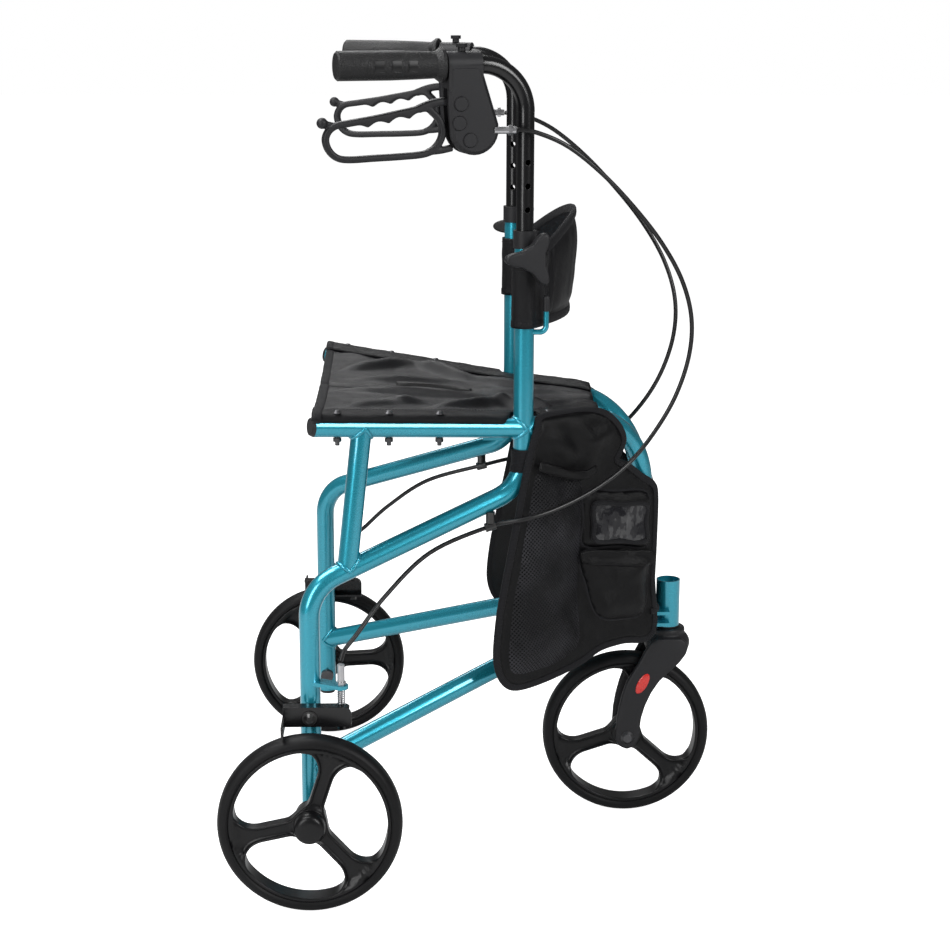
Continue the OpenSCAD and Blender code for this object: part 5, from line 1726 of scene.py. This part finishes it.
def make_sleeve(side):
    """Cloth loop round an upright, drawn out towards the band, with a hem at its lower edge."""
    r, reach = band_arc()
    tail = math.atan2(math.cos(reach), math.sin(reach))

    def ring(z, lift):
        points = []
        share = (z - SLEEVE_LOW) / SLEEVE_H
        hem = SLEEVE_HEM if share < SLEEVE_HEM_SHARE else 0.0
        line = SLEEVE_GROOVE * math.exp(-((share - SLEEVE_HEM_SHARE) / SLEEVE_GROOVE_SHARE) ** 2)
        for t in turns(SLEEVE_SIDES):
            x, y = math.cos(t), math.sin(t)
            radius = TUBE_R + SLEEVE_GAP + lift + SLEEVE_TAIL * max(0.0, math.cos(t - tail)) ** 5
            if lift:
                loose = SLEEVE_LOOSE * noise.noise(Vector((x * 2.2, y * 2.2, share * 3.5)))
                radius += max(0.0, loose) + hem - line
            points.append(on_side((UPRIGHT.x + radius * x, UPRIGHT.y + radius * y, z), side))
        return sided(points, side)

    levels = np.linspace(SLEEVE_LOW, SLEEVE_LOW + SLEEVE_H, SLEEVE_RINGS)
    rings = [ring(z, SLEEVE_T) for z in levels] + [ring(z, 0.0) for z in levels[::-1]]
    sleeve = loft(f"backrest_{side}_sleeve", rings, "band_cloth", closed=True)
    lines = []
    for z in (SLEEVE_LOW + SLEEVE_SEAMS[0], SLEEVE_LOW + SLEEVE_H - SLEEVE_SEAMS[1]):
        points = ring(z, SLEEVE_T)
        middle = Vector((UPRIGHT.x, UPRIGHT.y * SIDES[side], z))
        lines.append([(p, (p - middle).normalized()) for p in points + points[:1]])
    rows = stitches(f"backrest_{side}_sleeve_stitching", lines)
    for made in (sleeve, rows):
        fit(made, f"{side}_frame")


# Storage bag: two side panels outside the front tubes, joined by a nose round the hinges

# Flat outline of a side panel: distance behind the hinge and height
PANEL_EDGE = [
    (0.000, 0.238), (0.040, 0.237), (0.076, 0.234), (0.113, 0.222), (0.160, 0.214), (0.196, 0.212),
    (0.213, 0.220), (0.221, 0.240), (0.219, 0.270), (0.204, 0.340), (0.190, 0.400), (0.177, 0.457),
    (0.170, 0.482), (0.163, 0.502), (0.158, 0.511), (0.130, 0.513), (0.096, 0.512), (0.072, 0.505),
    (0.054, 0.490), (0.045, 0.474), (0.050, 0.460), (0.054, 0.450), (0.046, 0.443), (0.034, 0.438),
    (0.016, 0.424), (0.000, 0.413), (-0.004, 0.400), (-0.004, 0.360), (-0.002, 0.300),
]
BAG_GAP = 0.0014
BAG_THICK = 0.0022
BAG_TOP_Z = RAIL_FRONT.z
BAG_SPACING = 0.0042
BAG_BINDING = (0.009, 0.0056)
BAG_BINDING_INSET = 0.003
# Middle of a side panel, to which its seam is drawn in
BAG_MIDDLE = (0.105, 0.36)
BAG_SEAM_SHARES = (0.055, 0.045)
# Stretch of a side panel that hangs slack, how far it hangs in, and the flare at its foot
SLACK_RUN = 0.19
SLACK_LOW = 0.21
SLACK_RISE = 0.28
SLACK_HOLLOW = 0.010
FOOT_FLARE = 0.008
FOOT_TOP = 0.30
FOOT_RISE = 0.09
# Height of its creases, waves to the metre along and up, and where the noise starts
BAG_CREASES = [(0.0030, (26, 15), 4.2), (0.0014, (60, 40), 1.7)]
# A pocket's cloth off its panel where it is sewn down
POCKET_STAND = 0.0012
# Soft folds of a side panel: ends, height and half width
BAG_FOLDS = [
    ((0.156, 0.498), (0.106, 0.452), 0.0075, 0.011),
    ((0.118, 0.508), (0.080, 0.456), 0.0060, 0.010),
    ((0.104, 0.476), (0.056, 0.486), 0.0050, 0.010),
    ((0.166, 0.462), (0.118, 0.446), 0.0045, 0.009),
    ((0.196, 0.350), (0.128, 0.310), 0.0060, 0.014),
    ((0.150, 0.300), (0.112, 0.238), 0.0050, 0.011),
    ((0.200, 0.262), (0.136, 0.236), 0.0050, 0.011),
    ((0.150, 0.430), (0.112, 0.360), 0.0050, 0.014),
]


def panel_offset(a, z):
    """How far the panel hangs outside the plane of the front tube and the upright."""
    slack = math.sin(math.pi * min(1.0, max(0.0, a / SLACK_RUN)))
    slack *= math.sin(math.pi * min(1.0, max(0.0, (z - SLACK_LOW) / SLACK_RISE)))
    belly = -SLACK_HOLLOW * slack
    low = FOOT_FLARE * max(0.0, (FOOT_TOP - z) / FOOT_RISE)
    crease = sum(height * ripple(a, z, waves, seed) for height, waves, seed in BAG_CREASES)
    fold = ridge_height(a, z, BAG_FOLDS)
    return TUBE_R + BAG_GAP + BAG_THICK + belly + low + fold + crease * min(1.0, slack * 2 + 0.15)


def panel_place(side, lift=None):
    """Lays a flat place of the panel; lift(a, z) raises a pocket off it."""
    def place(a, z):
        o = panel_offset(a, z) + (lift(a, z) if lift else 0.0)
        height = z
        if z > BAG_TOP_Z:
            turn = (z - BAG_TOP_Z) / o
            height = BAG_TOP_Z + o * math.sin(turn)
            o = o * math.cos(turn)
        p = HINGE + RUN * a + OUT * o
        return on_side((p.x, p.y, height), side)
    return place


def pillow(outline, height, edge):
    """Lift of a pocket that is sewn down at its outline and swells inside it."""
    corners = level(outline)

    def lift(a, z):
        here = np.array([[a, z]])
        if not inside(corners, here)[0]:
            return POCKET_STAND
        away = edge_distance(corners, here)[0]
        return POCKET_STAND + height * (1 - math.exp(-away / edge))
    return lift


MESH_POCKET = [
    (0.104, 0.243), (0.130, 0.227), (0.170, 0.222), (0.203, 0.224), (0.211, 0.240), (0.208, 0.272),
    (0.194, 0.345), (0.180, 0.405), (0.169, 0.455), (0.150, 0.450), (0.125, 0.442), (0.100, 0.440),
    (0.097, 0.400), (0.097, 0.340), (0.100, 0.290),
]
POCKET_HEM = [(0.171, 0.461), (0.150, 0.454), (0.125, 0.444), (0.100, 0.441), (0.086, 0.446)]
WINDOW_POCKET = [
    (0.005, 0.342), (0.048, 0.347), (0.093, 0.354), (0.094, 0.386), (0.094, 0.418),
    (0.050, 0.413), (0.006, 0.406), (0.005, 0.374),
]
WINDOW = [
    (0.013, 0.351), (0.048, 0.355), (0.083, 0.361), (0.084, 0.382), (0.084, 0.404),
    (0.048, 0.399), (0.013, 0.394), (0.013, 0.372),
]
POUCH = [
    (0.018, 0.260), (0.044, 0.260), (0.068, 0.264), (0.080, 0.276), (0.088, 0.305),
    (0.096, 0.345), (0.050, 0.339), (0.004, 0.332), (0.005, 0.300), (0.007, 0.272),
]
POUCH_FLAP = [
    (0.002, 0.322), (0.030, 0.323), (0.062, 0.328), (0.097, 0.336), (0.097, 0.350),
    (0.050, 0.344), (0.002, 0.337),
]


def rounded(points, steps=5):
    """An outline with its corners eased."""
    return [(p.x, p.y) for p in curve(level(points), steps, closed=True)]


def make_bag():
    for side in SIDES:
        make_panel(side)
    make_pockets("right")
    make_nose()
    for side in SIDES:
        make_straps(side)
    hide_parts("storage_bag")


def make_panel(side):
    place = panel_place(side)
    edge = rounded(PANEL_EDGE, 4)
    order = sided(flip(edge), side)
    panel = cut_cloth(f"bag_{side}_panel", order, BAG_SPACING, place, "bag_cloth", BAG_THICK)
    binding = tape(f"bag_{side}_binding", order, place, *BAG_BINDING, inset=BAG_BINDING_INSET)
    seam = []
    for p in spaced(level(edge), SEWING_STEP, True):
        seam.append([p[k] + (BAG_MIDDLE[k] - p[k]) * BAG_SEAM_SHARES[k] for k in range(2)])
    rows = stitches(f"bag_{side}_stitching", [sewn_line(seam, place)])
    for made in (panel, binding, rows):
        fit(made, f"{side}_frame")
    flat_area(edge)


# Pockets: how far each swells, over what distance from its seam, and its cloth
NET_SWELL = (0.010, 0.020)
NET_SPACING = 0.0035
NET_HEM = (0.011, 0.0030)
NET_HEM_LIFT = 0.0105
NET_HEM_SEAMS = (-0.003, 0.003)
NET_HEM_SEAM_LIFT = 0.0018
WINDOW_SWELL = (0.0070, 0.007)
POUCH_SWELL = (0.0120, 0.010)
POCKET_SPACING = 0.0032
POCKET_THICK = 0.0012
POCKET_BINDING = (0.006, 0.0036)
FILM_SPACING = 0.0022
FILM_CRUMPLE = 0.0022
FILM_BINDING = (0.0060, 0.0060)
FILM_BINDING_LIFT = 0.003
FLAP_LOW = 0.006
FLAP_LIFT = 0.0022
FLAP_THICK = 0.0014
FLAP_SEAM = [(0.006, 0.327), (0.040, 0.3295), (0.093, 0.341)]


def make_pockets(side):
    """Pockets of a side panel: the net with its hem, the window pocket and the pouch."""
    made = make_net(side)
    for name, outline, swell in (
            ("window_pocket", WINDOW_POCKET, WINDOW_SWELL),
            ("pouch", POUCH, POUCH_SWELL),
    ):
        loop = rounded(outline)
        order = sided(flip(loop), side)
        place = panel_place(side, pillow(loop, *swell))
        made.append(cut_cloth(f"bag_{side}_{name}", order, POCKET_SPACING, place, "bag_cloth", POCKET_THICK))
        made.append(tape(f"bag_{side}_{name}_binding", order, place, *POCKET_BINDING))
    for each in made + make_window(side) + make_flap(side):
        fit(each, f"{side}_frame")


def make_net(side):
    loop = rounded(MESH_POCKET)
    place = panel_place(side, pillow(loop, *NET_SWELL))
    net = cut_cloth(f"bag_{side}_net_pocket", sided(flip(loop), side), NET_SPACING, place, "net_cloth", 0.0)
    over = panel_place(side, lambda a, z: NET_HEM_LIFT)
    line = spaced(level(POCKET_HEM), SEWING_STEP)
    hem = tape(f"bag_{side}_net_hem", line, over, *NET_HEM, "bag_cloth", closed=False)
    lines = []
    for shift in NET_HEM_SEAMS:
        lines.append(sewn_line([(a, z + shift) for a, z in POCKET_HEM], over, NET_HEM_SEAM_LIFT))
    return [net, hem, stitches(f"bag_{side}_net_hem_stitching", lines)]


def make_window(side):
    order = sided(flip(rounded(WINDOW, 4)), side)
    base = pillow(rounded(WINDOW_POCKET), *WINDOW_SWELL)

    def film_lift(a, z):
        crumple = ripple(a, z, (52, 34), 6.0) + 0.3 * ripple(a, z, (110, 70), 2.0)
        return base(a, z) + POCKET_STAND + FILM_CRUMPLE * (1.3 + crumple)
    place = panel_place(side, film_lift)
    film = cut_cloth(f"bag_{side}_window", order, FILM_SPACING, place, "clear_film", 0.0)
    over = panel_place(side, lambda a, z: base(a, z) + FILM_BINDING_LIFT)
    return [film, tape(f"bag_{side}_window_binding", order, over, *FILM_BINDING)]


def make_flap(side):
    order = sided(flip(rounded(POUCH_FLAP, 4)), side)
    pouch = pillow(rounded(POUCH), *POUCH_SWELL)
    place = panel_place(side, lambda a, z: max(FLAP_LOW, pouch(a, z)) + FLAP_LIFT)
    flap = cut_cloth(f"bag_{side}_pouch_flap", order, POCKET_SPACING, place, "bag_cloth", FLAP_THICK)
    return [flap, stitches(f"bag_{side}_pouch_stitching", [sewn_line(FLAP_SEAM, place)])]


NOSE_LOW = 0.262
NOSE_TOP = 0.409
NOSE_BINDING = (0.008, 0.0056)
# Shares of the way round the nose: each bend, and the ends that lie on the side panels
NOSE_BEND_SHARE = 0.35
NOSE_LAP_SHARE = 0.04
NOSE_STEPS = 60
NOSE_RINGS = 34
NOSE_SPARE = 0.001
NOSE_CREASE = 0.0014
NOSE_WAVES = (7, 22)
# Flare at its foot
NOSE_FLARE = 0.0062
NOSE_FLARE_TOP = 0.275
NOSE_FLARE_RISE = 0.013


def make_nose():
    """Cloth round the front of the hinges, from one side panel to the other."""
    def plan(share):
        """Place and outward direction round the nose, from the right panel to the left."""
        start = math.atan2(OUT.y, OUT.x)
        turn = min(1.0, min(share, 1 - share) / NOSE_BEND_SHARE)
        angle = start * (1 - turn)
        direction = Vector((math.cos(angle), math.sin(angle), 0))
        centre = Vector((HINGE.x, HINGE.y, 0))
        if share >= 1 - NOSE_BEND_SHARE:
            centre.y = -HINGE.y
            direction.y = -direction.y
        elif share > NOSE_BEND_SHARE:
            centre.y -= 2 * HINGE.y * (share - NOSE_BEND_SHARE) / (1 - 2 * NOSE_BEND_SHARE)
        return centre, direction

    def point(share, z, lift):
        centre, direction = plan(share)
        tube_gap = max(0.0, (NOSE_FLARE_TOP - z) / NOSE_FLARE_RISE) * NOSE_FLARE
        crease = NOSE_CREASE * ripple(share, z, NOSE_WAVES, 8.8)
        p = centre + direction * (TUBE_R + BAG_GAP + lift + tube_gap + crease)
        return Vector((p.x, p.y, z))

    shares = np.linspace(-NOSE_LAP_SHARE, 1 + NOSE_LAP_SHARE, NOSE_STEPS)
    rings = []
    for z in np.linspace(NOSE_LOW, NOSE_TOP, NOSE_RINGS):
        outer = [point(min(1.0, max(0.0, s)), z, BAG_THICK + NOSE_SPARE) for s in shares]
        inner = [point(min(1.0, max(0.0, s)), z, 0.0) for s in shares[::-1]]
        rings.append(outer + inner)
    nose = loft("bag_nose", rings, "bag_cloth")
    bindings = []
    for name, z in (("low", NOSE_LOW), ("top", NOSE_TOP)):
        path = [point(s, z, BAG_THICK / 2) for s in np.linspace(0, 1, NOSE_STEPS)]
        normals = [plan(s)[1] for s in np.linspace(0, 1, NOSE_STEPS)]
        rings = rings_along(path, round_profile(*NOSE_BINDING, 10, 0.7), normals)
        bindings.append(loft(f"bag_nose_{name}_binding", rings, "binding_tape"))
    for made in (nose, *bindings):
        fit(made, "head")


STRAP_LOW = 0.453
STRAP_TOP = 0.478
STRAP_GAP = 0.0005
STRAP_T = 0.0019
STRAP_PUFF = 0.0004
STRAP_SIDES = 48


def make_straps(side):
    """Hook-and-loop band round the upright, under the seat rail."""
    setback = MAIN_BEND * math.tan(math.acos((CORNER_HIGH - CORNER_LOW).normalized().z) / 2)
    bend_top = CORNER_HIGH.z + setback
    away = Vector((CORNER_LOW.x - CORNER_HIGH.x, CORNER_LOW.y - CORNER_HIGH.y, 0)).normalized()

    def ring(z, lift):
        drop = max(0.0, bend_top - z)
        shift = MAIN_BEND - math.sqrt(MAIN_BEND ** 2 - drop ** 2)
        centre = Vector((UPRIGHT.x, UPRIGHT.y, z)) + away * shift
        points = []
        for t in turns(STRAP_SIDES):
            puff = noise.noise(Vector((math.cos(t) * 2, math.sin(t) * 2, z * 60)))
            radius = TUBE_R + STRAP_GAP + lift + STRAP_PUFF * puff
            points.append(on_side(centre + Vector((math.cos(t), math.sin(t), 0)) * radius, side))
        return sided(points, side)

    levels = np.linspace(STRAP_LOW, STRAP_TOP, 9)
    rings = [ring(z, STRAP_T) for z in levels] + [ring(z, 0.0) for z in levels[::-1]]
    band = loft(f"bag_{side}_upright_strap", rings, "binding_tape", closed=True)
    fit(band, f"{side}_frame")


# Stage

CAMERA_PLACE = (-0.0727, -2.386, 0.993)
CAMERA_YAW = 1.78
CAMERA_PITCH = 13.54
CAMERA_ROLL = 0.15
CAMERA_LENS = 79.31
CAMERA_SENSOR = 36
CAMERA_REACH = 200
FLOOR_SIZE = 30.0


def make_camera():
    yaw, pitch, roll = (math.radians(a) for a in (CAMERA_YAW, CAMERA_PITCH, CAMERA_ROLL))
    ahead = Vector((math.sin(yaw) * math.cos(pitch), math.cos(yaw) * math.cos(pitch), -math.sin(pitch)))
    right = Vector((math.cos(yaw), -math.sin(yaw), 0))
    up = right.cross(ahead)
    level_right = right * math.cos(roll) + up * math.sin(roll)
    level_up = up * math.cos(roll) - right * math.sin(roll)
    data = bpy.data.cameras.new("camera")
    data.lens = CAMERA_LENS
    data.sensor_width = CAMERA_SENSOR
    data.clip_end = CAMERA_REACH
    camera = bpy.data.objects.new("camera", data)
    camera.matrix_world = Matrix.Translation(CAMERA_PLACE) @ Matrix((
        (level_right.x, level_up.x, -ahead.x), (level_right.y, level_up.y, -ahead.y),
        (level_right.z, level_up.z, -ahead.z))).to_4x4()
    bpy.context.scene.collection.objects.link(camera)
    bpy.context.scene.camera = camera


def floor_look():
    """White floor that keeps the object's shadow and looks white to the camera."""
    look = Look("studio_floor")
    lit = look.add("ShaderNodeBsdfDiffuse", None, {"Color": (0.7, 0.7, 0.7, 1)})
    glow = look.add("ShaderNodeEmission", None, {"Color": (1, 1, 1, 1), "Strength": 0.95})
    both = look.add("ShaderNodeAddShader", None, {0: lit, 1: glow})
    seen = seen_directly(look)
    shown = look.add("ShaderNodeMixShader", None, {0: seen, 1: lit, 2: both})
    look.add("ShaderNodeOutputMaterial", None, {"Surface": shown})
    return look.material


def seen_directly(look):
    """One for rays from the camera, also through glass."""
    rays = [look.add("ShaderNodeLightPath", out=f"Is {kind} Ray") for kind in ("Camera", "Transmission")]
    return rays[0] + rays[1] > 0.5


def make_world():
    world = bpy.data.worlds.new("studio")
    bpy.context.scene.world = world
    world.use_nodes = True
    look = Graph(world.node_tree)
    lit = look.add("ShaderNodeBackground", None, {"Color": (1, 1, 1, 1), "Strength": 0.12})
    white = look.add("ShaderNodeBackground", None, {"Color": (1, 1, 1, 1), "Strength": 1.0})
    shown = look.add("ShaderNodeMixShader", None, {0: seen_directly(look), 1: lit, 2: white})
    look.add("ShaderNodeOutputWorld", None, {"Surface": shown})


# Name, place, aim, width, height and strength of each softbox
SOFTBOXES = [
    ("left_box", (-1.45, -2.0, 1.25), (0, 0, 0.45), 0.8, 1.8, 29.0),
    ("right_box", (1.75, -1.75, 1.75), (0, 0, 0.45), 0.8, 1.6, 42.0),
    ("top_box", (-1.0, -0.1, 2.5), (0, 0, 0.4), 1.3, 1.3, 46.0),
    ("rim_box", (-0.5, 2.2, 2.4), (0, 0, 0.5), 1.4, 1.0, 26.0),
]


def make_lights():
    for name, place, target, width, height, power in SOFTBOXES:
        data = bpy.data.lights.new(name, "AREA")
        data.shape = "RECTANGLE"
        data.size = width
        data.size_y = height
        data.energy = power
        lamp = bpy.data.objects.new(name, data)
        lamp.location = place
        lamp.rotation_euler = (Vector(target) - Vector(place)).to_track_quat("-Z", "Y").to_euler()
        bpy.context.scene.collection.objects.link(lamp)


def make_stage():
    make_camera()
    half = FLOOR_SIZE / 2
    mesh = bpy.data.meshes.new("floor")
    corners = [(-half, -half, 0), (half, -half, 0), (half, half, 0), (-half, half, 0)]
    mesh.from_pydata(corners, [], [(0, 1, 2, 3)])
    mesh.materials.append(floor_look())
    floor = bpy.data.objects.new("floor", mesh)
    bpy.context.scene.collection.objects.link(floor)
    make_world()
    make_lights()
    bpy.context.scene.view_settings.view_transform = "Standard"


# Settings, operators and panel

class RollatorSettings(bpy.types.PropertyGroup):
    """Sizes and colours of the rollator's finishes and soft goods"""

    paint: FloatVectorProperty(
        name="Frame paint", description="Colour of the painted frame tubes",
        subtype="COLOR", size=3, min=0, max=1, default=(0.017, 0.320, 0.430))
    black: FloatVectorProperty(
        name="Plastics", description="Colour of the black mouldings and handle tubes",
        subtype="COLOR", size=3, min=0, max=1, default=(0.0045, 0.0045, 0.0050))
    rubber: FloatVectorProperty(
        name="Rubber", description="Colour of the tyres and grips",
        subtype="COLOR", size=3, min=0, max=1, default=(0.0055, 0.0055, 0.0060))
    cloth: FloatVectorProperty(
        name="Cloth", description="Colour of the seat, the backrest and the bag",
        subtype="COLOR", size=3, min=0, max=1, default=(0.0060, 0.0060, 0.0070))
    cable: FloatProperty(
        name="Cable", description="Diameter of the brake cables",
        unit="LENGTH", default=0.005, min=0.003, max=0.008)
    sag: FloatProperty(
        name="Seat sag", description="How far the middle of the seat hangs below its rails",
        unit="LENGTH", default=0.008, min=0.0, max=0.03)


class ROLLATOR_OT_stage(bpy.types.Operator):
    """Sets the camera, the pale floor and the soft studio light"""

    bl_idname = "rollator.stage"
    bl_label = "Stage"

    def execute(self, context):
        make_stage()
        return {"FINISHED"}


class ROLLATOR_OT_cables(bpy.types.Operator):
    """Lays the two brake cables from the levers to the rear brakes"""

    bl_idname = "rollator.cables"
    bl_label = "Brake cables"

    def execute(self, context):
        make_cables(context.scene.rollator.cable)
        return {"FINISHED"}


class ROLLATOR_OT_springs(bpy.types.Operator):
    """Winds the return springs of the rear brakes round their wires"""

    bl_idname = "rollator.springs"
    bl_label = "Return springs"

    def execute(self, context):
        make_springs()
        return {"FINISHED"}


class ROLLATOR_OT_frame(bpy.types.Operator):
    """Gives every rigid part of the frame, wheels and handles its finish"""

    bl_idname = "rollator.frame"
    bl_label = "Frame finishes"

    def execute(self, context):
        paint_frame()
        return {"FINISHED"}


class ROLLATOR_OT_wheels(bpy.types.Operator):
    """Forms the spoked rims of the three wheels"""

    bl_idname = "rollator.wheels"
    bl_label = "Wheels"

    def execute(self, context):
        make_wheels()
        return {"FINISHED"}


class ROLLATOR_OT_caster(bpy.types.Operator):
    """Forms the curved fork of the caster and its reflectors"""

    bl_idname = "rollator.caster"
    bl_label = "Caster fork"

    def execute(self, context):
        make_fork()
        make_reflectors()
        return {"FINISHED"}


class ROLLATOR_OT_controls(bpy.types.Operator):
    """Forms the height knobs and the loop levers"""

    bl_idname = "rollator.controls"
    bl_label = "Knobs and levers"

    def execute(self, context):
        make_knobs()
        make_levers()
        return {"FINISHED"}


class ROLLATOR_OT_welds(bpy.types.Operator):
    """Runs a weld bead round each joint of the frame tubes"""

    bl_idname = "rollator.welds"
    bl_label = "Weld beads"

    def execute(self, context):
        make_welds()
        return {"FINISHED"}


class ROLLATOR_OT_seat(bpy.types.Operator):
    """Sews the sling seat with its hems, its slot and its rivets"""

    bl_idname = "rollator.seat"
    bl_label = "Seat"

    def execute(self, context):
        make_seat()
        return {"FINISHED"}


class ROLLATOR_OT_backrest(bpy.types.Operator):
    """Sews the padded backrest band and its two sleeves"""

    bl_idname = "rollator.backrest"
    bl_label = "Backrest"

    def execute(self, context):
        make_backrest()
        return {"FINISHED"}


class ROLLATOR_OT_bag(bpy.types.Operator):
    """Sews the storage bag with its pockets and straps"""

    bl_idname = "rollator.bag"
    bl_label = "Storage bag"

    def execute(self, context):
        make_bag()
        return {"FINISHED"}


OPERATORS = (
    ROLLATOR_OT_stage,
    ROLLATOR_OT_cables,
    ROLLATOR_OT_springs,
    ROLLATOR_OT_frame,
    ROLLATOR_OT_wheels,
    ROLLATOR_OT_caster,
    ROLLATOR_OT_controls,
    ROLLATOR_OT_welds,
    ROLLATOR_OT_seat,
    ROLLATOR_OT_backrest,
    ROLLATOR_OT_bag,
)


class ROLLATOR_PT_parts(bpy.types.Panel):
    """Lists the settings and the steps that make the rollator"""

    bl_idname = "ROLLATOR_PT_parts"
    bl_label = "Rollator"
    bl_space_type = "VIEW_3D"
    bl_region_type = "UI"
    bl_category = "Rollator"

    def draw(self, context):
        settings = context.scene.rollator
        for key in RollatorSettings.__annotations__:
            self.layout.prop(settings, key)
        for operator in OPERATORS:
            self.layout.operator(operator.bl_idname)


CLASSES = (RollatorSettings, *OPERATORS, ROLLATOR_PT_parts)


def register():
    for each in CLASSES:
        bpy.utils.register_class(each)
    bpy.types.Scene.rollator = PointerProperty(type=RollatorSettings)


def unregister():
    del bpy.types.Scene.rollator
    for each in reversed(CLASSES):
        bpy.utils.unregister_class(each)


def main():
    register()
    bpy.ops.rollator.stage()
    bpy.ops.rollator.cables()
    bpy.ops.rollator.springs()
    bpy.ops.rollator.frame()
    bpy.ops.rollator.wheels()
    bpy.ops.rollator.caster()
    bpy.ops.rollator.controls()
    bpy.ops.rollator.welds()
    bpy.ops.rollator.seat()
    bpy.ops.rollator.backrest()
    bpy.ops.rollator.bag()


if __name__ == "__main__":
    main()
